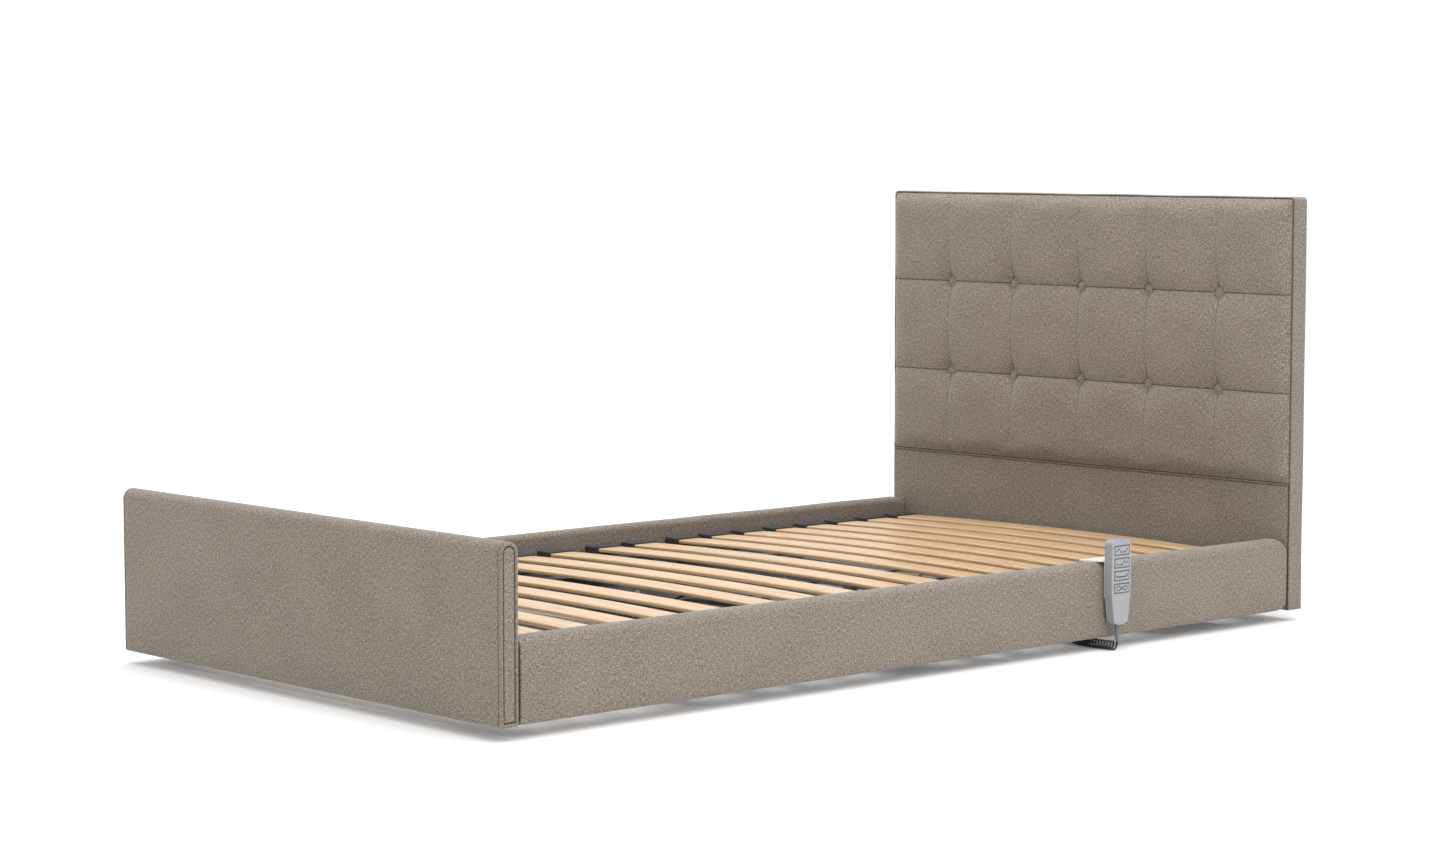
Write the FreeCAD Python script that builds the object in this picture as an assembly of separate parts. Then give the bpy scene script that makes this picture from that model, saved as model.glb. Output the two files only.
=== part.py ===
"""Adjustable bed base for a 1050 x 2000 mm mattress.

A steel floor chassis carries a scissor lift, the lift carries the bed frame, and the bed frame
carries a slatted deck in four sections, an upholstered surround, three actuators and a handset.
Frame: +X to the bed's right seen from its foot, +Y to the head, +Z up, millimetres.
Origin: on the floor, under the middle of the surround. The bed is modelled fully lowered and flat.
"""
import FreeCAD
import Part

import math
import os

V = FreeCAD.Vector

# ---- driving dimensions of the surround -------------------------------------------------------
BED_LENGTH = 2120.0
BED_WIDTH = 1153.0
FLOOR_GAP = 24.0           # under the surround when the bed is fully lowered
HEADBOARD_TOP = 878.0
HEADBOARD_THICK = 44.0
FOOTBOARD_TOP = 335.0
FOOTBOARD_THICK = 40.0
RAIL_TOP = 174.0
RAIL_THICK = 40.0
RAIL_INSET = 2.0           # rail face behind the ends of the two boards
RAIL_END_GAP = 3.0

HALF_LENGTH = BED_LENGTH / 2
HALF_WIDTH = BED_WIDTH / 2
FOOT_INNER = -HALF_LENGTH + FOOTBOARD_THICK
HEAD_INNER = HALF_LENGTH - HEADBOARD_THICK
RAIL_OUTER = HALF_WIDTH - RAIL_INSET
RAIL_INNER = RAIL_OUTER - RAIL_THICK

# ---- bed frame ---------------------------------------------------------------------------------
TUBE_WALL = 2.0
TUBE_CORNER = 3.0
SIDE_TUBE_WIDE = 30.0
SIDE_TUBE_LOW, SIDE_TUBE_TOP = 60.0, 98.0
BRACKET_THICK = 6.0        # between the side tubes and the rails
END_PLATE_THICK = 10.0     # between the end tubes and the two boards
SIDE_TUBE_OUT = RAIL_INNER - BRACKET_THICK
SIDE_TUBE_IN = SIDE_TUBE_OUT - SIDE_TUBE_WIDE
FRAME_FOOT = FOOT_INNER + END_PLATE_THICK
FRAME_HEAD = HEAD_INNER - END_PLATE_THICK

# ---- scissor lift ------------------------------------------------------------------------------
ARM_LENGTH = 1000.0        # between end pivots
ARM_DEPTH = 36.0
ARM_THICK = 10.0
LIFT_PIVOT_Y = -480.0      # fixed pivots, one above the other
LOWER_AXIS_Z = 34.0
UPPER_AXIS_Z = 82.0
REST_ANGLE = math.asin((UPPER_AXIS_Z - LOWER_AXIS_Z) / ARM_LENGTH)
ROLLER_Y = LIFT_PIVOT_Y + ARM_LENGTH * math.cos(REST_ANGLE)
CENTRE_Y = (LIFT_PIVOT_Y + ROLLER_Y) / 2
CENTRE_Z = (LOWER_AXIS_Z + UPPER_AXIS_Z) / 2
INNER_ARM_X = 336.0        # inner face of each inner arm
OUTER_ARM_X = 356.0        # inner face of each outer arm
TRACK_IN, TRACK_OUT = 374.0, 404.0
TRACK_WALL = 3.0
TRACK_HALF = 20.0          # half the track's outside height
PIN_R = 8.0
ROLLER_R = 16.5
RUN_FIT = 0.15             # radial clearance of a turning fit
FIXED_FIT = 0.05           # radial clearance of a welded or pressed fit
CROSS_TUBE_R = 12.0

# ---- deck --------------------------------------------------------------------------------------
DECK_TUBE = 25.0
DECK_LOW = 102.0
DECK_TOP = DECK_LOW + DECK_TUBE
HINGE_Z = DECK_LOW + DECK_TUBE / 2
DECK_IN, DECK_OUT = 490.0, 515.0
BACK_HINGE_Y, SEAT_HINGE_Y, KNEE_HINGE_Y = 230.0, 0.0, -340.0
HINGE_GAP = 15.0           # from each hinge axis to the nearest tube
BACK_END, CALF_END = 1000.0, -990.0
SLAT_WIDE, SLAT_THICK, SLAT_CROWN = 60.0, 8.0, 8.0
SLAT_HALF = 496.0
SLAT_SEAT_Z = DECK_TOP + 2.4
EAR_R, EAR_THICK = 12.0, 5.0
HINGE_PIN_R = 6.0
BACK_SLATS = [290.0 + 95.0 * i for i in range(8)]
SEAT_SLATS = [65.0, 165.0]
THIGH_SLATS = [-65.0 - 105.0 * i for i in range(3)]
CALF_SLATS = [-410.0 - 105.0 * i for i in range(6)]

# ---- lever drives ------------------------------------------------------------------------------
DRIVE_DROP = 55.0          # actuator axis below the deck hinges
DRIVE_Z = HINGE_Z - DRIVE_DROP
DRIVE_X = 110.0
BACK_SWING = math.radians(35)      # half of the back section's travel
LEG_SWING = math.radians(17.5)     # half of the thigh section's travel
ROD_R = 10.0
FORK_PIN_R = 6.0
LEVER_THICK = 8.0

# ---- handset -----------------------------------------------------------------------------------
HANDSET_Y = 462.7
HANDSET_BOTTOM, HANDSET_TOP = 51.0, 220.5
HANDSET_BACK, HANDSET_SPLIT, HANDSET_FRONT = 580.0, 590.5, 601.5
HANDSET_HALF = 28.0
HANDSET_WALL = 2.0
KEY_NAMES = ["back", "leg", "height", "contour"]
KEY_TOP_Z = 198.0
KEY_PITCH = 24.8
KEY_HALF_Y, KEY_HALF_Z = 21.5, 9.0
KEY_BACK, KEY_FRONT = 598.7, 602.0
CORD_X = (HANDSET_BACK + HANDSET_FRONT) / 2
KEY_GAP = 0.8
KEY_RIB_R = 1.0
KEY_PIVOT_X = KEY_BACK - 0.4
LEAD_R = 1.8
CURL_R = 10.0
FLOOR_LAY = 10.2           # height of the cord's axis where it lies under the rail
BOOT_END = 21.0
BOOT_TOP_R, BOOT_END_R = 5.2, 3.4


# ---- helpers -----------------------------------------------------------------------------------
def box(x0, x1, y0, y1, z0, z1):
    """A block between two corners."""
    return Part.makeBox(x1 - x0, y1 - y0, z1 - z0, V(x0, y0, z0))


def rod_x(y, z, r, x0, x1):
    """A round bar along X."""
    return Part.makeCylinder(r, x1 - x0, V(x0, y, z), V(1, 0, 0))


def rod_y(x, z, r, y0, y1):
    """A round bar along Y."""
    return Part.makeCylinder(r, y1 - y0, V(x, y0, z), V(0, 1, 0))


def rod_z(x, y, r, z0, z1):
    """A round bar along Z."""
    return Part.makeCylinder(r, z1 - z0, V(x, y, z0), V(0, 0, 1))


def tube(axis, x0, x1, y0, y1, z0, z1, wall=TUBE_WALL):
    """A square or flat tube with round corners, open at both ends along the given axis."""
    grow = {"x": (0, wall, wall), "y": (wall, 0, wall)}[axis]
    hollow = box(x0 + grow[0], x1 - grow[0], y0 + grow[1], y1 - grow[1], z0 + grow[2], z1 - grow[2])
    outer = box(x0, x1, y0, y1, z0, z1)
    along = [e for e in outer.Edges if abs(getattr(e.tangentAt(e.FirstParameter), axis)) > 0.5]
    return outer.makeFillet(TUBE_CORNER, along).cut(hollow)


def mirrored(shape):
    """The same piece on the bed's other side."""
    return shape.mirror(V(0, 0, 0), V(1, 0, 0))


def both_sides(*shapes):
    """Each piece and its mirror image."""
    return list(shapes) + [mirrored(s) for s in shapes]


def slab(outline, x0, x1):
    """An outline of edges in the YZ plane at x = 0, made solid from x0 to x1."""
    face = Part.Face(Part.Wire(outline))
    face.translate(V(x0, 0, 0))
    return face.extrude(V(x1 - x0, 0, 0))


def stadium(p, q, r, x0, x1):
    """A flat bar with round ends from p to q, both (y, z), standing in the YZ plane."""
    along = V(0, q[0] - p[0], q[1] - p[1]).normalize()
    side = V(0, -along.z, along.y) * r
    a, b = V(0, *p), V(0, *q)
    end = along * r
    return slab([Part.LineSegment(a + side, b + side).toShape(),
                 Part.Arc(b + side, b + end, b - side).toShape(),
                 Part.LineSegment(b - side, a - side).toShape(),
                 Part.Arc(a - side, a - end, a + side).toShape()], x0, x1)


def rounded(shape, radius, picks):
    """The shape with a fillet on every edge whose middle passes the test."""
    edges = [e for e in shape.Edges if picks(e.CenterOfMass)]
    return shape.makeFillet(radius, edges)


def rounded_route(points):
    """Straight runs joined by tangent arcs, each as large as its two runs allow. Prints the least radius."""
    pts = [V(*p) for p in points]
    edges, start, least = [], pts[0], 1e9
    for before, corner, after in zip(pts, pts[1:], pts[2:]):
        back, ahead = (before - corner), (after - corner)
        shorter = min(back.Length, ahead.Length)
        back.normalize()
        ahead.normalize()
        trim = 0.45 * shorter
        turn = math.pi - back.getAngle(ahead)
        least = min(least, trim / math.tan(turn / 2))
        p, q = corner + back * trim, corner + ahead * trim
        bisector = (back + ahead).normalize()
        radius = trim / math.tan(turn / 2)
        middle = corner + bisector * (radius / math.cos(turn / 2) - radius)
        edges.append(Part.LineSegment(start, p).toShape())
        edges.append(Part.Arc(p, middle, q).toShape())
        start = q
    edges.append(Part.LineSegment(start, pts[-1]).toShape())
    print("route: least radius %.1f, length %.1f" % (least, sum(e.Length for e in edges)))
    return Part.Wire(edges)


def cord_solid(points, r):
    """A round cord along a route, with its volume compared with section times length."""
    path = rounded_route(points)
    first = V(*points[1]) - V(*points[0])
    ring = Part.Wire(Part.makeCircle(r, V(*points[0]), first))
    solid = path.makePipeShell([ring], True, False)
    print("cord volume over section times length: %.4f" % (solid.Volume / (math.pi * r * r * path.Length)))
    return solid


def save(name, shapes):
    """Writes one node. Every piece in it is a closed solid."""
    solids = [s for shape in shapes for s in shape.Solids]
    for s in solids:
        if not s.isValid() or s.Volume <= 0:
            raise ValueError("%s holds a bad solid" % name)
    Part.makeCompound(solids).exportStep("parts/%s.step" % name)


# ---- floor chassis -----------------------------------------------------------------------------
def channel(z, y0, y1):
    """One C-section track, open towards the bed's middle, with its rollers' axis at height z."""
    outer = box(TRACK_IN, TRACK_OUT, y0, y1, z - TRACK_HALF, z + TRACK_HALF)
    inside = TRACK_HALF - TRACK_WALL
    return outer.cut(box(TRACK_IN - 1, TRACK_OUT - TRACK_WALL, y0 - 1, y1 + 1, z - inside, z + inside))


def pivot_block(z):
    """The bearing block in a track that carries a fixed pivot of the scissor lift."""
    inside = TRACK_HALF - TRACK_WALL
    block = box(TRACK_IN + 1, TRACK_OUT - TRACK_WALL, LIFT_PIVOT_Y - 25, LIFT_PIVOT_Y + 25, z - inside, z + inside)
    return block.cut(rod_x(LIFT_PIVOT_Y, z, PIN_R + RUN_FIT, TRACK_IN, TRACK_OUT))


def floor_chassis():
    """Two channels, two cross tubes and four rubber pads that stand on the floor."""
    low = LOWER_AXIS_Z - TRACK_HALF
    foot_y, head_y = -560.0, 600.0
    save("chassis_channels", both_sides(channel(LOWER_AXIS_Z, foot_y, head_y), pivot_block(LOWER_AXIS_Z)))
    cross = [tube("x", -TRACK_IN, TRACK_IN, y, y + 30, low + 2, low + 32) for y in (foot_y, head_y - 30)]
    save("chassis_cross_tubes", cross)
    pads = []
    for y in (foot_y + 30, head_y - 30):
        pads.append(rod_z(TRACK_IN + 15, y, 24, 0, low))
    save("floor_pads", both_sides(*pads))


# ---- scissor lift ------------------------------------------------------------------------------
def scissor_arm(x0, z_fixed, z_roller, centre_fit):
    """One arm from its fixed pivot to its roller, drilled at both ends and in the middle."""
    arm = stadium((LIFT_PIVOT_Y, z_fixed), (ROLLER_Y, z_roller), ARM_DEPTH / 2, x0, x0 + ARM_THICK)
    for y, z, fit in ((LIFT_PIVOT_Y, z_fixed, FIXED_FIT), (ROLLER_Y, z_roller, FIXED_FIT),
                      (CENTRE_Y, CENTRE_Z, centre_fit)):
        arm = arm.cut(rod_x(y, z, PIN_R + fit, x0 - 1, x0 + ARM_THICK + 1))
    return arm


def round_tube_x(y, z, half):
    """A round cross tube between two arms."""
    return rod_x(y, z, CROSS_TUBE_R, -half, half).cut(rod_x(y, z, CROSS_TUBE_R - TUBE_WALL, -half - 1, half + 1))


def roller(z):
    """A nylon roller at the sliding end of an arm."""
    wheel = rod_x(ROLLER_Y, z, ROLLER_R, TRACK_IN + 6, TRACK_OUT - 8)
    return wheel.cut(rod_x(ROLLER_Y, z, PIN_R + RUN_FIT, TRACK_IN, TRACK_OUT))


def scissor_lift():
    """The outer and the inner arm frame, which cross at their middles, and their rollers."""
    pin_end = TRACK_OUT - 6
    weld_back = 60.0       # from an arm's end pivot to its cross tube
    dy, dz = weld_back * math.cos(REST_ANGLE), weld_back * math.sin(REST_ANGLE)

    spacer = rod_x(CENTRE_Y, CENTRE_Z, 15, INNER_ARM_X + ARM_THICK + 0.3, OUTER_ARM_X)
    save("outer_arms", both_sides(scissor_arm(OUTER_ARM_X, LOWER_AXIS_Z, UPPER_AXIS_Z, FIXED_FIT)))
    save("outer_arm_axles",
         [round_tube_x(LIFT_PIVOT_Y + dy, LOWER_AXIS_Z + dz, OUTER_ARM_X),
          round_tube_x(ROLLER_Y, UPPER_AXIS_Z, OUTER_ARM_X)]
         + both_sides(rod_x(LIFT_PIVOT_Y, LOWER_AXIS_Z, PIN_R, OUTER_ARM_X - 4, pin_end),
                      rod_x(ROLLER_Y, UPPER_AXIS_Z, PIN_R, OUTER_ARM_X, pin_end),
                      rod_x(CENTRE_Y, CENTRE_Z, PIN_R, INNER_ARM_X - 4, OUTER_ARM_X + ARM_THICK + 3).fuse(spacer)))

    save("inner_arms", both_sides(scissor_arm(INNER_ARM_X, UPPER_AXIS_Z, LOWER_AXIS_Z, RUN_FIT)))
    save("inner_arm_axles",
         [round_tube_x(LIFT_PIVOT_Y + dy, UPPER_AXIS_Z - dz, INNER_ARM_X),
          round_tube_x(ROLLER_Y - dy, LOWER_AXIS_Z + dz, INNER_ARM_X)]
         + both_sides(rod_x(LIFT_PIVOT_Y, UPPER_AXIS_Z, PIN_R, INNER_ARM_X - 4, pin_end),
                      rod_x(ROLLER_Y, LOWER_AXIS_Z, PIN_R, INNER_ARM_X - 4, pin_end)))

    save("upper_rollers", both_sides(roller(UPPER_AXIS_Z)))
    save("lower_rollers", both_sides(roller(LOWER_AXIS_Z)))


# ---- bed frame ---------------------------------------------------------------------------------
RAIL_BOLT_YS = (-800.0, 100.0, 905.0)
BOARD_BOLT_XS = (250.0, 430.0)
BOLT_Z = (SIDE_TUBE_LOW + SIDE_TUBE_TOP) / 2
BOLT_R = 4.0
TRACK_FOOT, TRACK_HEAD = -550.0, 860.0


def rail_bolt_holes():
    """Clearance for the bolts that hold the right-hand rail."""
    return [rod_x(y, BOLT_Z, BOLT_R + FIXED_FIT, SIDE_TUBE_IN - 2, RAIL_INNER + 23) for y in RAIL_BOLT_YS]


def board_bolt_holes():
    """Clearance for the bolts that hold the headboard and the footboard, right-hand side."""
    spans = ((FRAME_FOOT - 40, FRAME_FOOT + 32), (FRAME_HEAD - 32, FRAME_HEAD + 60))
    return [rod_y(x, BOLT_Z, BOLT_R + FIXED_FIT, y0, y1) for x in BOARD_BOLT_XS for y0, y1 in spans]


def drilled(shape, holes):
    """The shape with both sides' bolt holes cut."""
    for hole in both_sides(*holes):
        shape = shape.cut(hole)
    return shape


def bed_frame():
    """Perimeter of flat tube, cross tubes, outriggers, and the two tracks of the scissor lift."""
    low, top = SIDE_TUBE_LOW, SIDE_TUBE_TOP
    side = tube("y", SIDE_TUBE_IN, SIDE_TUBE_OUT, FRAME_FOOT, FRAME_HEAD, low, top)
    save("frame_side_tubes", both_sides(drilled(side, rail_bolt_holes())))

    reach = SIDE_TUBE_IN
    across = [tube("x", -reach, reach, y, y + SIDE_TUBE_WIDE, low, top)
              for y in (FRAME_FOOT, FRAME_HEAD - SIDE_TUBE_WIDE)]
    across = [drilled(t, board_bolt_holes()) for t in across]
    across += [tube("x", -reach, reach, y, y + SIDE_TUBE_WIDE, low, top)
               for y in (TRACK_FOOT - SIDE_TUBE_WIDE, TRACK_HEAD)]
    outriggers = [tube("x", TRACK_OUT, reach, y, y + SIDE_TUBE_WIDE, low, top) for y in (-15.0, 435.0)]
    save("frame_cross_tubes", across + both_sides(*outriggers))

    save("lift_tracks", both_sides(channel(UPPER_AXIS_Z, TRACK_FOOT, TRACK_HEAD), pivot_block(UPPER_AXIS_Z)))
    pads = [box(SIDE_TUBE_IN + 1, DECK_OUT - 1, y - 15, y + 15, top, DECK_LOW - 0.3)
            for y in (330.0, 900.0, -285.0, -450.0, -900.0)]
    save("rest_pads", both_sides(*pads))


# ---- slatted deck ------------------------------------------------------------------------------
def deck_frame(y0, y1):
    """Two side tubes and two cross tubes around one deck section."""
    sides = both_sides(tube("y", DECK_IN, DECK_OUT, y0, y1, DECK_LOW, DECK_TOP))
    return sides + [tube("x", -DECK_IN, DECK_IN, y, y + DECK_TUBE, DECK_LOW, DECK_TOP)
                    for y in (y0, y1 - DECK_TUBE)]


def hinge_ear(hinge_y, away, inner_x, fit):
    """One drilled ear on a side tube. away is +1 or -1, the side of the hinge that the tube is on."""
    ear = stadium((hinge_y, HINGE_Z), (hinge_y + away * 38, HINGE_Z), EAR_R, inner_x, inner_x + EAR_THICK)
    ear = ear.cut(rod_x(hinge_y, HINGE_Z, HINGE_PIN_R + fit, inner_x - 1, inner_x + EAR_THICK + 1))
    if inner_x > DECK_OUT:
        near, far = sorted((hinge_y + away * 24, hinge_y + away * 46))
        ear = ear.fuse(box(DECK_OUT, inner_x, near, far, HINGE_Z - 10, HINGE_Z + 10))
    return ear


OUTER_EAR_X = DECK_OUT + EAR_THICK + 0.5


def inner_ears(hinge_y, away):
    """The pair of ears that lie against the side tubes and hold the hinge pins."""
    return both_sides(hinge_ear(hinge_y, away, DECK_OUT, FIXED_FIT))


def outer_ears(hinge_y, away):
    """The pair of ears that turn on the hinge pins."""
    return both_sides(hinge_ear(hinge_y, away, OUTER_EAR_X, RUN_FIT))


def hinge_pins(hinge_ys):
    """Shouldered pins through both ears of each hinge."""
    pins = []
    for y in hinge_ys:
        shank = rod_x(y, HINGE_Z, HINGE_PIN_R, DECK_OUT - 4, OUTER_EAR_X + EAR_THICK + 0.4)
        head = rod_x(y, HINGE_Z, HINGE_PIN_R + 3, OUTER_EAR_X + EAR_THICK + 0.4, OUTER_EAR_X + EAR_THICK + 3)
        pins.append(shank.fuse(head))
    return both_sides(*pins)


def slat(y):
    """A laminated beech slat, bowed upwards, seen across the bed as an arc of even thickness."""
    def arc(end_z):
        return Part.Arc(V(-SLAT_HALF, 0, end_z), V(0, 0, end_z + SLAT_CROWN), V(SLAT_HALF, 0, end_z)).toShape()
    low, high = arc(SLAT_SEAT_Z), arc(SLAT_SEAT_Z + SLAT_THICK)
    ends = [Part.LineSegment(V(x, 0, SLAT_SEAT_Z), V(x, 0, SLAT_SEAT_Z + SLAT_THICK)).toShape()
            for x in (-SLAT_HALF, SLAT_HALF)]
    face = Part.Face(Part.Wire(Part.__sortEdges__([low, high] + ends)))
    face.translate(V(0, y - SLAT_WIDE / 2, 0))
    return face.extrude(V(0, SLAT_WIDE, 0))


def slat_holder(y):
    """A rubber cup on the side tube that takes one end of a slat."""
    cup = box(SLAT_HALF - 22, DECK_OUT - 1, y - SLAT_WIDE / 2 - 4, y + SLAT_WIDE / 2 + 4, DECK_TOP, DECK_TOP + 14.5)
    cup = rounded(cup, 3, lambda c: c.z > DECK_TOP + 14)
    pocket = box(SLAT_HALF - 23, SLAT_HALF + 0.5, y - SLAT_WIDE / 2 - 0.5, y + SLAT_WIDE / 2 + 0.5,
                 DECK_TOP + 2, DECK_TOP + 12.5)
    return cup.cut(pocket)


def save_slats(section, ys):
    """The slats of one section and the cups that hold them."""
    save(section + "_slats", [slat(y) for y in ys])
    save(section + "_slat_holders", both_sides(*[slat_holder(y) for y in ys]))


def drive_lever(x, hinge_y, away, swing, slack):
    """The slotted lever plate under a section's first cross tube. away is the side that the section is on."""
    reach = DRIVE_DROP / math.cos(swing)
    pin_r = FORK_PIN_R + slack

    def at(r):
        return (hinge_y - away * r * math.sin(swing), HINGE_Z - r * math.cos(swing))
    x0, x1 = x - LEVER_THICK / 2, x + LEVER_THICK / 2
    root = (hinge_y + away * 30, DECK_LOW - 12)
    rim = pin_r + 8
    plate = stadium(at(DRIVE_DROP - 1), at(reach + 1), rim, x0, x1)
    plate = plate.fuse(stadium(at(DRIVE_DROP - 1), root, 12, x0, x1)).removeSplitter()
    slot = stadium(at(DRIVE_DROP - 1), at(reach + 1), pin_r, x0 - 1, x1 + 1)
    return plate.cut(slot)


def deck():
    """Seat section fixed on the bed frame; back, thigh and calf sections on hinges."""
    mounts = [box(SIDE_TUBE_IN + 1, DECK_OUT, y, y + 30, SIDE_TUBE_TOP, DECK_LOW) for y in (30.0, 170.0)]
    save("seat_frame", deck_frame(SEAT_HINGE_Y + HINGE_GAP, BACK_HINGE_Y - HINGE_GAP) + both_sides(*mounts)
         + inner_ears(SEAT_HINGE_Y, 1) + inner_ears(BACK_HINGE_Y, -1))
    save("seat_hinge_pins", hinge_pins((SEAT_HINGE_Y, BACK_HINGE_Y)))
    save_slats("seat", SEAT_SLATS)

    save("back_frame", deck_frame(BACK_HINGE_Y + HINGE_GAP, BACK_END) + outer_ears(BACK_HINGE_Y, 1)
         + [drive_lever(-DRIVE_X, BACK_HINGE_Y, 1, BACK_SWING, 2.4)])
    save_slats("back", BACK_SLATS)

    save("thigh_frame", deck_frame(KNEE_HINGE_Y + HINGE_GAP, SEAT_HINGE_Y - HINGE_GAP)
         + outer_ears(SEAT_HINGE_Y, -1) + inner_ears(KNEE_HINGE_Y, 1)
         + [drive_lever(DRIVE_X, SEAT_HINGE_Y, -1, LEG_SWING, 1.0)])
    save("knee_hinge_pins", hinge_pins((KNEE_HINGE_Y,)))
    save_slats("thigh", THIGH_SLATS)

    save("calf_frame", deck_frame(CALF_END, KNEE_HINGE_Y - HINGE_GAP) + outer_ears(KNEE_HINGE_Y, -1))
    save_slats("calf", CALF_SLATS)
    wire_r, half, top, y = 5.0, 220.0, 205.0, CALF_END - 5.0
    loop = [(-half, y, DECK_LOW + 3), (-half, y, top), (half, y, top), (half, y, DECK_LOW + 3)]
    bend = 40.0
    edges = [Part.LineSegment(V(*loop[0]), V(-half, y, top - bend)).toShape(),
             Part.Arc(V(-half, y, top - bend), V(-half + bend * (1 - math.sqrt(0.5)), y,
                      top - bend * (1 - math.sqrt(0.5))), V(-half + bend, y, top)).toShape(),
             Part.LineSegment(V(-half + bend, y, top), V(half - bend, y, top)).toShape(),
             Part.Arc(V(half - bend, y, top), V(half - bend * (1 - math.sqrt(0.5)), y,
                      top - bend * (1 - math.sqrt(0.5))), V(half, y, top - bend)).toShape(),
             Part.LineSegment(V(half, y, top - bend), V(*loop[3])).toShape()]
    ring = Part.Wire(Part.makeCircle(wire_r, V(*loop[0]), V(0, 0, 1)))
    save("mattress_retainer", [Part.Wire(edges).makePipeShell([ring], True, False)])


# ---- upholstered surround ----------------------------------------------------------------------
BOARD_THICK = 18.0
RAIL_FOOT, RAIL_HEAD = FOOT_INNER + RAIL_END_GAP, HEAD_INNER - RAIL_END_GAP


def side_rails():
    """A plywood board in a foam and fabric cover along each side."""
    board = box(RAIL_INNER + 6, RAIL_INNER + 6 + BOARD_THICK, RAIL_FOOT + 14, RAIL_HEAD - 14,
                FLOOR_GAP + 12, RAIL_TOP - 14)
    cover = box(RAIL_INNER, RAIL_OUTER, RAIL_FOOT, RAIL_HEAD, FLOOR_GAP, RAIL_TOP)
    cover = rounded(cover, 21, lambda c: c.x > RAIL_OUTER - 1 and c.z > RAIL_TOP - 1 and abs(c.y) < 900)
    cover = rounded(cover, 12, lambda c: c.x < RAIL_INNER + 1 and c.z > RAIL_TOP - 1 and abs(c.y) < 900)
    cover = rounded(cover, 10, lambda c: c.x > RAIL_OUTER - 1 and c.z < FLOOR_GAP + 1 and abs(c.y) < 900)
    holes = rail_bolt_holes()
    cover = drilled(cover.cut(board), holes)
    save("side_rail_boards", both_sides(drilled(board, holes)))
    save("right_rail_cover", [cover])
    save("left_rail_cover", [mirrored(cover)])


HEAD_BORDER = 4.0
PAD_BACK = HEAD_INNER + 22
BUTTON_XS = [194.0 * i for i in range(-2, 3)]
BUTTON_ZS = [HEADBOARD_TOP - 202.0 * i for i in (1, 2)]
BUTTON_R = 12.0
BUTTON_FACE, BUTTON_BACK = HEAD_INNER + 2, HEAD_INNER + 8
TUFT_LOFT = 17.0           # how far the buttoned pad stands out of its border
TUFT_LOW = 288.0


def headboard():
    """Board, buttoned pad, border round both sides and the top, and cloth over the back."""
    inner = HALF_WIDTH - HEAD_BORDER
    inner_top = HEADBOARD_TOP - HEAD_BORDER
    board_back = PAD_BACK + BOARD_THICK
    pad = box(-inner, inner, HEAD_INNER, PAD_BACK, FLOOR_GAP, inner_top)
    front = HEAD_INNER - TUFT_LOFT
    tufted = box(-inner + 3, inner - 3, front, HEAD_INNER, TUFT_LOW, inner_top - 3)
    pad = pad.fuse(rounded(tufted, TUFT_LOFT - 2, lambda c: c.y < front + 1)).removeSplitter()
    buttons = []
    for x in BUTTON_XS:
        for z in BUTTON_ZS:
            dimple = Part.makeCone(38, BUTTON_R + 1, BUTTON_FACE - front, V(x, front, z), V(0, 1, 0))
            seat = rod_y(x, z, BUTTON_R + 0.3, BUTTON_FACE, BUTTON_BACK)
            pad = pad.cut(dimple).cut(seat)
            button = rod_y(x, z, BUTTON_R, BUTTON_FACE - 3, BUTTON_BACK)
            buttons.append(rounded(button, 2.5, lambda c: c.y < BUTTON_FACE - 2))
    board = box(-inner, inner, PAD_BACK, board_back, FLOOR_GAP, inner_top)
    holes = board_bolt_holes()
    save("headboard_pad", [drilled(pad, holes)])
    save("headboard_board", [drilled(board, holes)])
    save("headboard_buttons", buttons)
    border = box(-HALF_WIDTH, HALF_WIDTH, HEAD_INNER, HALF_LENGTH, FLOOR_GAP, HEADBOARD_TOP)
    border = rounded(border, 3, lambda c: abs(c.x) > HALF_WIDTH - 1 and c.z > HEADBOARD_TOP - 1)
    border = border.cut(box(-inner, inner, HEAD_INNER - 1, HALF_LENGTH + 1, FLOOR_GAP - 1, inner_top))
    save("headboard_border", [border])
    save("headboard_back_cloth", [box(-inner, inner, board_back, HALF_LENGTH, FLOOR_GAP, inner_top)])


def footboard():
    """Board in a foam and fabric cover with a full round top."""
    cover = box(-HALF_WIDTH, HALF_WIDTH, -HALF_LENGTH, FOOT_INNER, FLOOR_GAP, FOOTBOARD_TOP)
    cover = rounded(cover, FOOTBOARD_THICK / 2 - 1, lambda c: c.z > FOOTBOARD_TOP - 1 and abs(c.x) < 10)
    middle = (-HALF_LENGTH + FOOT_INNER) / 2
    board = box(-HALF_WIDTH + 12, HALF_WIDTH - 12, middle - BOARD_THICK / 2, middle + BOARD_THICK / 2,
                FLOOR_GAP + 8, FOOTBOARD_TOP - 22)
    holes = board_bolt_holes()
    save("footboard_cover", [drilled(cover.cut(board), holes)])
    save("footboard_board", [drilled(board, holes)])


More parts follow.
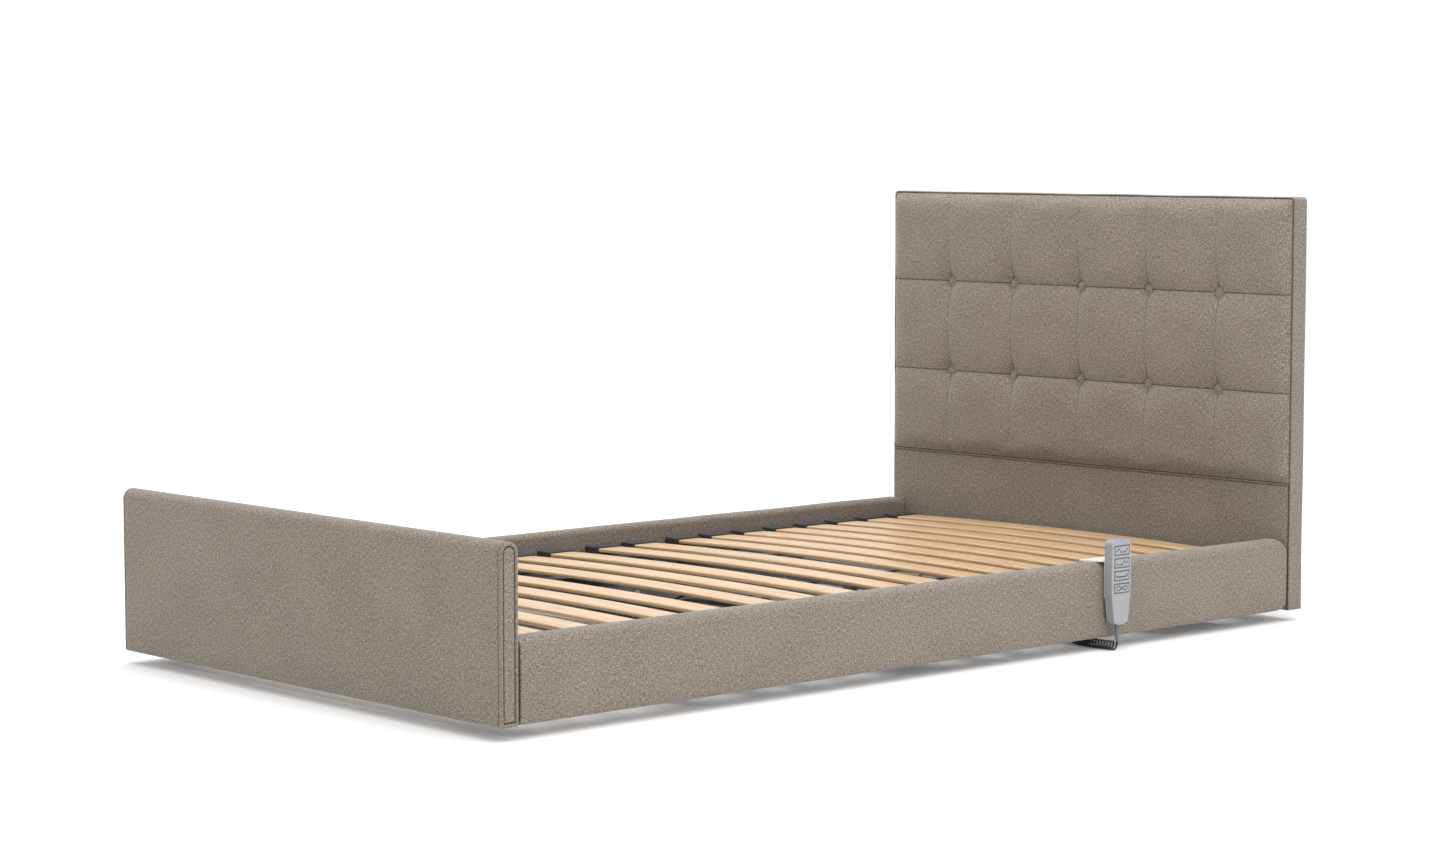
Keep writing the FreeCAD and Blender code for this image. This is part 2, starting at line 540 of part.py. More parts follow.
def surround_fixings():
    """Steel packing plates between frame and surround, and the bolts that go through them."""
    low, top = SIDE_TUBE_LOW, SIDE_TUBE_TOP
    plates = [box(SIDE_TUBE_OUT, RAIL_INNER, y - 40, y + 40, low, top) for y in RAIL_BOLT_YS]
    for x in BOARD_BOLT_XS:
        plates.append(box(x - 40, x + 40, FOOT_INNER, FRAME_FOOT, low, top))
        plates.append(box(x - 40, x + 40, FRAME_HEAD, HEAD_INNER, low, top))
    holes = rail_bolt_holes() + board_bolt_holes()
    save("surround_plates", [drilled(p, holes) for p in both_sides(*plates)])

    bolts = []
    for y in RAIL_BOLT_YS:
        shank = rod_x(y, BOLT_Z, BOLT_R, SIDE_TUBE_IN, RAIL_INNER + 22)
        bolts.append(shank.fuse(rod_x(y, BOLT_Z, 7, SIDE_TUBE_IN - 5, SIDE_TUBE_IN)))
    for x in BOARD_BOLT_XS:
        foot, head = FRAME_FOOT + SIDE_TUBE_WIDE, FRAME_HEAD - SIDE_TUBE_WIDE
        bolts.append(rod_y(x, BOLT_Z, BOLT_R, FOOT_INNER - 28, foot).fuse(rod_y(x, BOLT_Z, 7, foot, foot + 5)))
        bolts.append(rod_y(x, BOLT_Z, BOLT_R, head, PAD_BACK + 16).fuse(rod_y(x, BOLT_Z, 7, head - 5, head)))
    save("surround_bolts", both_sides(*bolts))


# ---- drives ------------------------------------------------------------------------------------
TUBE_R = 16.0
MOTOR_R = 24.0
ROD_FIT = 0.4
FORK_REACH = 40.0


def linear_drive(x, z, nose, tail, ahead, motor_dx, motor_z, motor_len, rod_r):
    """A spindle tube with a gear case and a motor beside it. ahead is +1 or -1, the way its rod comes out."""
    case_long = 46.0
    y0, y1 = sorted((nose, tail))
    body = rod_y(x, z, TUBE_R, y0, y1)
    case_y = sorted((tail, tail - ahead * case_long))
    x0, x1 = sorted((x - math.copysign(20, motor_dx), x + motor_dx + math.copysign(26, motor_dx)))
    case = rounded(box(x0, x1, case_y[0], case_y[1], min(z, motor_z) - 26, max(z, motor_z) + 16),
                   6, lambda c: abs(c.y - sum(case_y) / 2) < 1)
    motor_y = sorted((tail - ahead * case_long, tail - ahead * (case_long + motor_len)))
    motor = rod_y(x + motor_dx, motor_z, MOTOR_R, *motor_y)
    bore = sorted((nose + ahead, tail + ahead * 4))
    return body.fuse(case).fuse(motor).cut(rod_y(x, z, rod_r + ROD_FIT, *bore))


def drive_rod(x, pin_y, ahead, tail):
    """A drive's rod with its fork and cross pin, which runs in the lever's slot."""
    root = sorted((pin_y - ahead * FORK_REACH, pin_y - ahead * (FORK_REACH + 20)))
    block = box(x - 11, x + 11, root[0], root[1], DRIVE_Z - 10, DRIVE_Z + 10)
    shaft = rod_y(x, DRIVE_Z, ROD_R, *sorted((pin_y - ahead * (FORK_REACH + 20), tail)))
    cheek_y = sorted((pin_y - ahead * FORK_REACH, pin_y + ahead * 11))
    cheeks = [box(x + side * 8.5 - 2.5, x + side * 8.5 + 2.5, cheek_y[0], cheek_y[1], DRIVE_Z - 10, DRIVE_Z + 10)
              for side in (-1, 1)]
    pin = rod_x(pin_y, DRIVE_Z, FORK_PIN_R, x - 13, x + 13)
    return shaft.fuse([block, pin] + cheeks)


def drives():
    """Three linear drives fixed under the bed frame, and the rods that they push."""
    back_pin = BACK_HINGE_Y - DRIVE_DROP * math.tan(BACK_SWING)
    leg_pin = SEAT_HINGE_Y + DRIVE_DROP * math.tan(LEG_SWING)
    back_nose = back_pin - FORK_REACH - 24
    leg_nose = leg_pin + FORK_REACH + 24
    save("back_drive", [linear_drive(-DRIVE_X, DRIVE_Z, back_nose, -80, 1, -52, 62, 100, ROD_R)])
    save("back_drive_rod", [drive_rod(-DRIVE_X, back_pin, 1, -20)])
    save("leg_drive", [linear_drive(DRIVE_X, DRIVE_Z, leg_nose, 240, -1, 52, 62, 86, ROD_R)])
    save("leg_drive_rod", [drive_rod(DRIVE_X, leg_pin, -1, 180)])

    lift_nose, lift_tail, rod_r = 560.0, 722.0, 9.0
    save("lift_drive", [linear_drive(0, UPPER_AXIS_Z, lift_nose, lift_tail, -1, 55, 76, 70, rod_r)])
    eye = rod_x(ROLLER_Y, UPPER_AXIS_Z, 17.5, -10, 10)
    shaft = rod_y(0, UPPER_AXIS_Z, rod_r, ROLLER_Y + 10, lift_tail - 8)
    save("lift_drive_rod", [eye.fuse(shaft).cut(rod_x(ROLLER_Y, UPPER_AXIS_Z, CROSS_TUBE_R + 0.2, -11, 11))])

    saddles = []
    for x, y in ((-DRIVE_X, 18.0), (DRIVE_X, 193.0)):
        saddle = box(x - 12, x + 12, y, y + 19, DRIVE_Z + 4, DECK_LOW)
        saddles.append(saddle.cut(rod_y(x, DRIVE_Z, TUBE_R + FIXED_FIT, y - 1, y + 20)))
    saddles.append(box(-8, 8, lift_tail + 46, TRACK_HEAD, UPPER_AXIS_Z - 12, UPPER_AXIS_Z + 12))
    save("drive_hangers", saddles)


CONTROL_X0, CONTROL_X1 = TRACK_OUT + 6, SIDE_TUBE_IN
CONTROL_Y0, CONTROL_Y1 = 690.0, 850.0
CONTROL_LOW = 52.0
GLAND_X, GLAND_Z, GLAND_LONG = 470.0, 75.0, 8.0
INLET = (418.0, 442.0, 64.0, 80.0)      # x0, x1, z0, z1 of the mains inlet's pocket
INLET_DEEP = 14.0


def control_box():
    """Power and control box with a mains inlet and a gland for the handset's lead, and the drives' leads."""
    case = box(CONTROL_X0, CONTROL_X1, CONTROL_Y0, CONTROL_Y1, CONTROL_LOW, SIDE_TUBE_TOP)
    case = rounded(case, 4, lambda c: c.z < CONTROL_LOW + 1)
    x0, x1, z0, z1 = INLET
    case = case.cut(box(x0, x1, CONTROL_Y0 - 1, CONTROL_Y0 + INLET_DEEP, z0, z1))
    save("control_box", [case.fuse(rod_y(GLAND_X, GLAND_Z, 7, CONTROL_Y0 - GLAND_LONG, CONTROL_Y0))])

    over, lead_r = 106.0, 2.5          # height at which the leads cross the track
    routes = {                         # where each lead leaves the box, then its way to its drive's gear case
        488.0: [(300, 655, over), (180, 662, over), (105, 675, 98), (60, 694, 80), (60, 722, 80)],
        478.0: [(300, 640, over), (225, 600, over), (180, 540, over), (155, 470, 104), (130, 400, 97),
                (114, 345, 84), (110, 308, 66), (110, 286, 66)],
        468.0: [(300, 625, over), (150, 600, over), (50, 540, over), (18, 440, over), (8, 350, 99), (4, 260, 97),
                (0, 170, 97), (-20, 80, 96), (-62, 10, 94), (-112, -35, 86), (-150, -57, 66), (-150, -80, 66)],
    }
    leads = []
    for x, route in routes.items():
        leave = [(x, CONTROL_Y0, 90), (x, CONTROL_Y0 - 22, 90), (x - 30, CONTROL_Y0 - 42, over - 2)]
        leads.append(cord_solid(leave + route, lead_r))
    save("drive_leads", leads)


# ---- handset -----------------------------------------------------------------------------------
def handset_slab(inset, x0, x1):
    """The handset's outline with a shallow arch on top and a taper to a rounded foot, made solid."""
    h, top, low = HANDSET_HALF - inset, HANDSET_TOP - inset, HANDSET_BOTTOM + inset
    crown, shoulder, waist, belly = 4.0, 112.0, 20.0 - inset, 5.0
    y = HANDSET_Y
    arch = [V(0, y - h, top - crown), V(0, y, top), V(0, y + h, top - crown)]
    foot = [V(0, y + waist, low + belly), V(0, y, low), V(0, y - waist, low + belly)]
    right, left = V(0, y + h, shoulder), V(0, y - h, shoulder)
    outline = [Part.Arc(*arch), Part.LineSegment(arch[2], right), Part.LineSegment(right, foot[0]),
               Part.Arc(*foot), Part.LineSegment(foot[2], left), Part.LineSegment(left, arch[0])]
    solid = slab([e.toShape() for e in outline], x0, x1)
    middle = (x0 + x1) / 2
    for z0, z1, radius in ((top - crown - 1, top, 9.0 - inset), (shoulder - 1, shoulder + 1, 60.0),
                           (low, low + belly + 1, 10.0 - inset)):
        solid = rounded(solid, radius, lambda c: abs(c.x - middle) < 0.1 and z0 < c.z < z1 and abs(c.y - y) > 5)
    return solid


def handset():
    """Front and back shell, circuit board, rocker keys, cord boot and the hook over the rail."""
    wall, y, boss = HANDSET_WALL, HANDSET_Y, 3.0
    front = handset_slab(0, HANDSET_SPLIT, HANDSET_FRONT)
    front = rounded(front, 2.5, lambda c: c.x > HANDSET_FRONT - 0.1)
    front = front.cut(handset_slab(wall, HANDSET_SPLIT - 1, HANDSET_FRONT - wall))
    key_zs = [KEY_TOP_Z - KEY_PITCH * i for i in range(len(KEY_NAMES))]
    for z in key_zs:
        front = front.cut(box(HANDSET_FRONT - wall - 1, HANDSET_FRONT + 1, y - KEY_HALF_Y - KEY_GAP,
                              y + KEY_HALF_Y + KEY_GAP, z - KEY_HALF_Z - KEY_GAP, z + KEY_HALF_Z + KEY_GAP))
    save("handset_front_shell", [front])
    for name, z in zip(KEY_NAMES, key_zs):
        key = box(KEY_BACK, KEY_FRONT, y - KEY_HALF_Y, y + KEY_HALF_Y, z - KEY_HALF_Z, z + KEY_HALF_Z)
        key = rounded(key, 3, lambda c: abs(c.x - (KEY_BACK + KEY_FRONT) / 2) < 0.1)
        save("key_" + name, [key.fuse(rod_z(KEY_PIVOT_X, y, KEY_RIB_R, z - 6, z + 6))])

    back = handset_slab(0, HANDSET_BACK, HANDSET_SPLIT)
    back = rounded(back, 2.5, lambda c: c.x < HANDSET_BACK + 0.1)
    back = back.cut(handset_slab(wall, HANDSET_BACK + wall, HANDSET_SPLIT + 1))
    save("handset_back_shell", [back])
    board = handset_slab(wall + 1.5, HANDSET_SPLIT + 2, HANDSET_SPLIT + 3.6)
    pillars = [rod_x(y, z, boss, HANDSET_BACK + wall, HANDSET_SPLIT + 2) for z in (90.0, 185.0)]
    rest_x = KEY_PIVOT_X - KEY_RIB_R - 0.3
    fulcrums = [box(HANDSET_SPLIT + 3.6, rest_x, y - 1, y + 1, z - 6, z + 6) for z in key_zs]
    save("handset_circuit_board", [board.fuse(pillars + fulcrums)])
    boot = Part.makeCone(BOOT_END_R, BOOT_TOP_R, HANDSET_BOTTOM - BOOT_END, V(CORD_X, y, BOOT_END), V(0, 0, 1))
    save("handset_cord_boot", [boot])

    gap, thick, wide, narrow = 0.4, 2.6, 46.0, 22.0
    low, high = RAIL_TOP + gap, RAIL_TOP + gap + thick
    x_in, x_out = RAIL_INNER - gap, RAIL_OUTER + gap
    edge = [(x_in - thick, -wide), (x_in + 8, -wide), (x_out + thick, -narrow), (x_out + thick, narrow),
            (x_in + 8, wide), (x_in - thick, wide)]
    corners = [V(x, y + across, low) for x, across in edge]
    plate = Part.Face(Part.makePolygon(corners + corners[:1])).extrude(V(0, 0, thick))
    lip = box(x_in - thick, x_in, y - wide, y + wide, 138, high)
    leg = box(x_out, x_out + thick, y - narrow, y + narrow, 104, high)
    hook = plate.fuse([lip, leg, box(x_out + thick, HANDSET_BACK, y - 14, y + 14, 110, 148)]).removeSplitter()
    save("handset_hook", [hook])


CURL = [(593, HANDSET_Y - CURL_R + LEAD_R, FLOOR_LAY), (562, 452, FLOOR_LAY), (531, 450.5, FLOOR_LAY),
        (502, 453, FLOOR_LAY), (477, 465, FLOOR_LAY), (460, 487, FLOOR_LAY), (452, 516, FLOOR_LAY),
        (449, 549, FLOOR_LAY), (449.5, 585, FLOOR_LAY), (453, 622, FLOOR_LAY)]
LEAD_START = [(CORD_X, HANDSET_Y, BOOT_END), (CORD_X, HANDSET_Y, 15)]
LEAD_END = [CURL[-1], (454, 638, FLOOR_LAY), (457, 650, 24), (463, 653, 50), (GLAND_X, 660, GLAND_Z),
            (GLAND_X, CONTROL_Y0 - GLAND_LONG, GLAND_Z)]


def handset_cord():
    """The curly cord, as one fat tube, and the plain lead at each of its ends."""
    save("handset_curl", [cord_solid(CURL, CURL_R)])
    save("handset_lead", [cord_solid(LEAD_START, LEAD_R), cord_solid(LEAD_END, LEAD_R)])


def main():
    os.makedirs("parts", exist_ok=True)
    floor_chassis()
    scissor_lift()
    bed_frame()
    deck()
    side_rails()
    headboard()
    footboard()
    surround_fixings()
    drives()
    control_box()
    handset()
    handset_cord()
    print("nodes:", len(os.listdir("parts")))


main()
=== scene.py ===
"""The looks of an adjustable bed base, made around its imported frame.

Metres, in the frame's own axes: +X to the side where the handset hangs, +Y to the headboard, +Z up.
"""
import math

import bmesh
import bpy
import numpy as np
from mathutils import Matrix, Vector


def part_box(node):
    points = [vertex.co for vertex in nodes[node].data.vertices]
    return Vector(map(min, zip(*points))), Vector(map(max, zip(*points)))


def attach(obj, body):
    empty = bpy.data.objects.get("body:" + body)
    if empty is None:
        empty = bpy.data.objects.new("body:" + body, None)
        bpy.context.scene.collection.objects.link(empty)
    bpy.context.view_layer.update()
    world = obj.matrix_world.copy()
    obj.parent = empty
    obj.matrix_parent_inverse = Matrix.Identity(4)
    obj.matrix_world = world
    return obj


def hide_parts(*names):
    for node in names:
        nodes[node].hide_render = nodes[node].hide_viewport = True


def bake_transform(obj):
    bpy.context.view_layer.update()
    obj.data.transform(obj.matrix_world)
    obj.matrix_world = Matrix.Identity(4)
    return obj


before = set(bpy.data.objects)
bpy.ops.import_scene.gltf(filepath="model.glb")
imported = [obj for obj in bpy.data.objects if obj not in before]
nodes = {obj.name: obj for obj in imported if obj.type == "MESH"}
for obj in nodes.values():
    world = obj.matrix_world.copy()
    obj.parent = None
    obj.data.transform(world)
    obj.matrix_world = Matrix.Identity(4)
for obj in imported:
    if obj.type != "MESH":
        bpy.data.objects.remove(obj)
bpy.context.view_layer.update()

# ---- Camera -------------------------------------------------------------------------------------
# A long lens, a metre above the floor, off the right-hand corner of the bed's foot.
CAMERA_AT = (4.8331, -4.4260, 0.9951)
TILTED, TURNED = 5.064, 47.796  # degrees below level, and from +Y towards -X
FOCAL_MM, SENSOR_MM = 82.65, 36.0

lens = bpy.data.cameras.new("camera")
lens.lens, lens.sensor_width = FOCAL_MM, SENSOR_MM
camera = bpy.data.objects.new("camera", lens)
camera.location = CAMERA_AT
camera.rotation_euler = (math.radians(90 - TILTED), 0.0, math.radians(TURNED))
bpy.context.scene.collection.objects.link(camera)
bpy.context.scene.camera = camera


# ---- Handset cord -------------------------------------------------------------------------------
# A curly cord in a black jacket. It leaves the boot of the handset as a plain lead, lies coiled on the
# floor under the rail, and goes up as a plain lead into the gland of the control box.
def curve_from(points, resolution):
    """A quadratic B-spline curve with these control points, clamped at both ends."""
    curve = bpy.data.curves.new("route", "CURVE")
    curve.dimensions, curve.resolution_u = "3D", resolution
    spline = curve.splines.new("NURBS")
    spline.points.add(len(points) - 1)
    spline.points.foreach_set("co", np.column_stack([points, np.ones(len(points))]).ravel())
    spline.order_u, spline.use_endpoint_u = 3, True
    return curve


def mesh_of(curve):
    """The mesh of a curve: its centre line, or its tube if it has a bevel."""
    holder = bpy.data.objects.new("route", curve)
    mesh = bpy.data.meshes.new_from_object(holder)
    bpy.data.objects.remove(holder)
    return mesh


def vertices_of(mesh):
    """The vertices of a mesh as an array of rows."""
    flat = np.empty(len(mesh.vertices) * 3)
    mesh.vertices.foreach_get("co", flat)
    return flat.reshape(-1, 3)


def evenly(line, count):
    """Points at equal distances along a line of points, and the distance of each from the start."""
    far = np.r_[0.0, np.cumsum(np.linalg.norm(np.diff(line, axis=0), axis=1))]
    at = np.linspace(0.0, far[-1], count)
    return np.column_stack([np.interp(at, far, line[:, k]) for k in range(3)]), at


CORD_THICK = 0.0040
CURL_OUTSIDE = 0.0200
CURL_RADIUS = (CURL_OUTSIDE - CORD_THICK) / 2
CURL_TURNS = 38.5
TURN_POINTS = 14
cord_x, cord_y, lay_z = 0.59075, 0.4627, 0.0102
curl_route = [(cord_x, cord_y - CURL_RADIUS, lay_z), (0.562, 0.452, lay_z), (0.531, 0.4505, lay_z),
              (0.502, 0.453, lay_z), (0.477, 0.465, lay_z), (0.460, 0.487, lay_z), (0.452, 0.516, lay_z),
              (0.449, 0.549, lay_z), (0.4495, 0.585, lay_z), (0.453, 0.622, lay_z)]
lead_start = [(cord_x, cord_y, 0.021), (cord_x, cord_y, 0.017), (cord_x, cord_y, 0.013)]
lead_end = [(0.4450, 0.6228, 0.017), (0.4456, 0.6250, 0.027), (0.4495, 0.632, 0.044), (0.458, 0.645, 0.061),
            (0.4665, 0.657, 0.0738), (0.470, 0.669, 0.075), (0.470, 0.682, 0.075)]

# The helix turns round the route: radius times (cos of the turn on the side axis, sin on the up axis).
# The leads come straight down into its side at one end and leave straight up from its side at the other.
centre, along = evenly(vertices_of(mesh_of(curve_from(curl_route, 12))), int(CURL_TURNS * TURN_POINTS) + 1)
forward = np.gradient(centre, axis=0)
forward /= np.linalg.norm(forward, axis=1)[:, None]
up = np.array([0.0, 0.0, 1.0])
side = np.cross(up, forward)
angle = 2 * np.pi * CURL_TURNS * along / along[-1] + np.pi
helix = centre + CURL_RADIUS * (np.cos(angle)[:, None] * side + np.sin(angle)[:, None] * up)

cord_curve = curve_from(np.vstack([lead_start, helix, lead_end]), 2)
cord_line = vertices_of(mesh_of(cord_curve))
cord_curve.bevel_depth, cord_curve.bevel_resolution, cord_curve.use_fill_caps = CORD_THICK / 2, 2, True
cord = bpy.data.objects.new("handset_cord", mesh_of(cord_curve))
bpy.context.scene.collection.objects.link(cord)
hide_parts("handset_curl", "handset_lead")
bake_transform(cord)


class Wire:
    """A shader node's output. Arithmetic on it adds Math nodes, and node() adds any other node."""

    def __init__(self, tree, socket=None):
        self.tree, self.socket = tree, socket

    def node(self, kind, settings=None, sockets=None, out=0):
        """Adds a node of this kind, makes its settings, then gives its sockets values or links."""
        made = self.tree.nodes.new("ShaderNode" + kind)
        for name, value in (settings or {}).items():
            if name == "stops":
                ramp = made.color_ramp.elements
                while len(ramp) < len(value):
                    ramp.new(1.0)
                for stop, (place, colour) in zip(ramp, value):
                    stop.position, stop.color = place, (*colour, 1.0)
            else:
                setattr(made, name, value)
        for name, value in (sockets or {}).items():
            if isinstance(value, Wire):
                self.tree.links.new(value.socket, made.inputs[name])
            else:
                made.inputs[name].default_value = value
        return Wire(self.tree, made.outputs[out])

    def math(self, operation, *values):
        return self.node("Math", {"operation": operation}, dict(enumerate(values)))

    def __add__(self, other):
        return self.math("ADD", self, other)

    def __sub__(self, other):
        return self.math("SUBTRACT", self, other)

    def __rsub__(self, other):
        return self.math("SUBTRACT", other, self)

    def __mul__(self, other):
        return self.math("MULTIPLY", self, other)

    __radd__, __rmul__ = __add__, __mul__


def new_finish(name, **values):
    """A material with the plain values of its Principled shader set, and the wire to build on."""
    finish = bpy.data.materials.new(name)
    finish.use_nodes = True
    shader = finish.node_tree.nodes["Principled BSDF"]
    for key, value in values.items():
        shader.inputs[key.replace("_", " ")].default_value = value
    return finish, Wire(finish.node_tree)


def drive_socket(finish, **wires):
    """Links wires to sockets of a material's Principled shader."""
    shader = finish.node_tree.nodes["Principled BSDF"]
    for key, wire in wires.items():
        finish.node_tree.links.new(wire.socket, shader.inputs[key.replace("_", " ")])


def scaled(wire, scale, source="Object"):
    """The piece's own coordinates times a scale along each axis."""
    place = wire.node("TexCoord", out=source)
    return wire.node("Mapping", sockets={"Vector": place, "Scale": scale})


def noise(wire, vector, scale, detail=2.0, roughness=0.5):
    """Fractal noise from 0 to 1 at so many features to a metre."""
    return wire.node("TexNoise", sockets={"Vector": vector, "Scale": scale, "Detail": detail,
                                          "Roughness": roughness})


def ramp(wire, factor, *stops):
    """A colour that runs through stops of (place, (r, g, b)) as the factor goes from 0 to 1."""
    return wire.node("ValToRGB", {"stops": stops}, {"Fac": factor})


def between(wire, value, low, high):
    """0 below low, 1 above high, and a smooth step between them."""
    return wire.node("MapRange", {"interpolation_type": "SMOOTHSTEP"},
                     {"Value": value, "From Min": low, "From Max": high})


def blend_colours(wire, factor, first, second):
    """Mixes two colours."""
    first, second = (c if isinstance(c, Wire) else (*c, 1.0) for c in (first, second))
    return wire.node("Mix", {"data_type": "RGBA"}, {0: factor, 6: first, 7: second}, out=2)


def bump(wire, height, strength, distance):
    """A normal from a height of 0 to 1, which stands for so many metres."""
    return wire.node("Bump", sockets={"Height": height, "Strength": strength, "Distance": distance})


def part_of(wire, vector, axis):
    """One coordinate of a vector: 0, 1 or 2."""
    return wire.node("SeparateXYZ", sockets={"Vector": vector}, out=axis)


# Black, and grey like the boot where the lead comes out of it.
cord_black, wire = new_finish("cord_jacket", Roughness=0.36)
spot = wire.node("TexCoord", out="Object")
above_coil = between(wire, part_of(wire, spot, 2), 0.0175, 0.0185)
below_boot = between(wire, part_of(wire, spot, 0), 0.589, 0.5892)
jacket = blend_colours(wire, above_coil * below_boot, (0.018, 0.019, 0.020), (0.17, 0.175, 0.18))
drive_socket(cord_black, Base_Color=jacket, Normal=bump(wire, noise(wire, spot, 1800.0), 0.3, 0.0002))
cord.data.materials.clear()
cord.data.materials.append(cord_black)
for face in cord.data.polygons:
    face.use_smooth = True


# ---- Upholstery fabric --------------------------------------------------------------------------
# A heathered plain weave in taupe. Each thread is a melange of pale and dark fibres, so that the cloth
# has a fine salt-and-pepper grain, and the threads vary in thickness along their length.
THREAD = 0.0011

taupe, wire = new_finish("taupe_weave", Roughness=0.88, Sheen_Weight=0.25, Sheen_Roughness=0.45,
                         Specular_IOR_Level=0.25)
cloth = wire.node("TexCoord", out="UV")
across = part_of(wire, cloth, 0) * (math.pi / THREAD)
down = part_of(wire, cloth, 1) * (math.pi / THREAD)
crossing = across.math("SINE", across) * down.math("SINE", down) * 0.5 + 0.5
weft = noise(wire, wire.node("Mapping", sockets={"Vector": cloth, "Scale": (140.0, 620.0, 1.0)}), 1.0, 1.0)
warp = noise(wire, wire.node("Mapping", sockets={"Vector": cloth, "Scale": (620.0, 140.0, 1.0)}), 1.0, 1.0)
fibre = noise(wire, cloth, 440.0, 2.0, 0.7)
cloud = noise(wire, cloth, 7.0, 2.0)
melange = weft * 0.22 + warp * 0.22 + fibre * 0.52 + cloud * 0.04
tone = ramp(wire, melange, (0.34, (0.044, 0.036, 0.029)), (0.45, (0.134, 0.113, 0.092)),
            (0.53, (0.222, 0.191, 0.158)), (0.66, (0.445, 0.400, 0.343)))
relief = crossing * 0.5 + weft * 0.25 + warp * 0.25
# Painted shade: the per-point attribute read here turns the weave near black, standing in for the shade in
# seam grooves, creases, gaps and round the buttons.
seam = wire.node("Attribute", {"attribute_name": "seam"}, out=2)
shaded = blend_colours(wire, seam, tone, (0.030, 0.024, 0.019))
drive_socket(taupe, Base_Color=shaded, Normal=bump(wire, relief, 0.55, 0.0006))


def cloth_uv(mesh):
    """A UV map in metres that lays the weave on each face along the two axes it faces least."""
    count = len(mesh.loops)
    normals = np.empty(len(mesh.polygons) * 3)
    mesh.polygons.foreach_get("normal", normals)
    totals = np.empty(len(mesh.polygons), int)
    mesh.polygons.foreach_get("loop_total", totals)
    facing = np.repeat(np.abs(normals.reshape(-1, 3)).argmax(1), totals)
    index = np.empty(count, int)
    mesh.loops.foreach_get("vertex_index", index)
    corner = vertices_of(mesh)[index]
    axes = np.array([[1, 2], [0, 2], [0, 1]])[facing]
    uv = np.take_along_axis(corner, axes, 1)
    mesh.uv_layers.new(name="weave").data.foreach_set("uv", uv.ravel())


def make_piece(name, points, faces, finish, body, slot, smooth=True, seam=None):
    """Links a mesh of points and faces, with its faces turned outwards, that rides on a body.

    Painted shade is 1 at points whose colour is darkened to stand for the shade in seams, grooves and gaps,
    and 0 elsewhere.
    """
    mesh = bpy.data.meshes.new(name)
    mesh.from_pydata(np.asarray(points).tolist(), [], faces)
    if seam is not None:
        depth = mesh.attributes.new("seam", "FLOAT", "POINT")
        depth.data.foreach_set("value", np.asarray(seam, float).ravel())
    piece = bpy.data.objects.new(name, mesh)
    bpy.context.scene.collection.objects.link(piece)
    solid = bmesh.new()
    solid.from_mesh(mesh)
    bmesh.ops.recalc_face_normals(solid, faces=solid.faces)
    solid.to_mesh(mesh)
    solid.free()
    mesh.polygons.foreach_set("use_smooth", np.full(len(mesh.polygons), smooth))
    cloth_uv(mesh)
    mesh.materials.append(finish)
    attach(piece, body)
    return piece


def skin(rings):
    """Points and faces of a surface through rings of points, (ring, point, xyz), capped at both ends."""
    count, around = rings.shape[:2]
    i, j = np.meshgrid(np.arange(count - 1), np.arange(around), indexing="ij")
    k = (j + 1) % around
    quads = np.stack([i * around + j, i * around + k, (i + 1) * around + k, (i + 1) * around + j], -1)
    faces = quads.reshape(-1, 4).tolist()
    faces.append(list(range(around))[::-1])
    faces.append(list(range((count - 1) * around, count * around)))
    return rings.reshape(-1, 3), faces


def joined(surfaces):
    """Points and faces of one mesh that holds several surfaces, each given as its points and faces."""
    points, faces, first = [], [], 0
    for own_points, own_faces in surfaces:
        points.append(own_points)
        faces += [[v + first for v in face] for face in own_faces]
        first += len(own_points)
    return np.vstack(points), faces


def round_box(half_a, half_b, radii, inset, arc=9, flat=7):
    """The outline of a rectangle with round corners, moved inwards by inset, as rows of (a, b).

    Each corner is an arc of its radius less the inset, and flats get a few points that crowd their ends.
    Radii start at the corner (+a, +b) and go to (-a, +b), (-a, -b) and (+a, -b).
    """
    a, b = half_a - inset, half_b - inset
    corners = []
    for turn, (sa, sb), r in zip(range(4), ((1, 1), (-1, 1), (-1, -1), (1, -1)), radii):
        r = max(r - inset, 0.0004)
        t = np.linspace(0, np.pi / 2, arc) + turn * np.pi / 2
        corners.append(np.column_stack([sa * (a - r) + r * np.cos(t), sb * (b - r) + r * np.sin(t)]))
    crowd = (1 - np.cos(np.linspace(0, np.pi, flat + 2)[1:-1])) / 2
    outline = []
    for corner, following in zip(corners, corners[1:] + corners[:1]):
        outline += [corner, corner[-1] + crowd[:, None] * (following[0] - corner[-1])]
    return np.vstack(outline)


def softness(points, size, seed):
    """A gentle unevenness of foam under cloth, from -1 to 1: three crossed sine waves about size long."""
    draw = np.random.default_rng(seed)
    way = draw.normal(size=(3, 3))
    way /= np.linalg.norm(way, axis=1)[:, None]
    phase = draw.uniform(0, 2 * np.pi, 3)
    return np.sin(points @ way.T * (2 * np.pi / size) + phase).mean(-1)


# ---- Footboard ----------------------------------------------------------------------------------
# A board in foam and fabric with a full round top. The cover wraps over it from side to side, and at
# each end a narrow gusset is sewn in behind a raised lip.
low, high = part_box("footboard_cover")
foot_mid, foot_half = (low.y + high.y) / 2, (high.y - low.y) / 2
foot_high, foot_centre = (high.z - low.z) / 2, (high.z + low.z) / 2
end_shape = [(0.0016, 0.0168), (0.0013, 0.0130), (0.0014, 0.0098), (0.0022, 0.0090), (0.0048, 0.0083),
             (0.0050, 0.0077), (0.0024, 0.0072), (0.0008, 0.0064), (0.0001, 0.0054), (0.0, 0.0044),
             (0.0003, 0.0030), (0.0013, 0.0013), (0.0028, 0.0004), (0.0046, 0.0003), (0.0058, 0.0012),
             (0.0064, 0.0012), (0.0078, 0.0002), (0.0110, 0.0), (0.0160, 0.0)]  # from the end, inset
# Painted shade in the grooves beside each end lip, 1 where darkest.
groove_shade = np.array([0, 0, 0, 0.5, 1, 1, 0.4, 0, 0, 0, 0, 0, 0, 0.1, 0.5, 0.5, 0, 0, 0])
inner = np.linspace(-high.x + 0.030, high.x - 0.030, 46)
stations = [(-high.x + e, inset) for e, inset in end_shape] + [(x, 0.0) for x in inner]
stations += [(high.x - e, inset) for e, inset in reversed(end_shape)]
rings = []
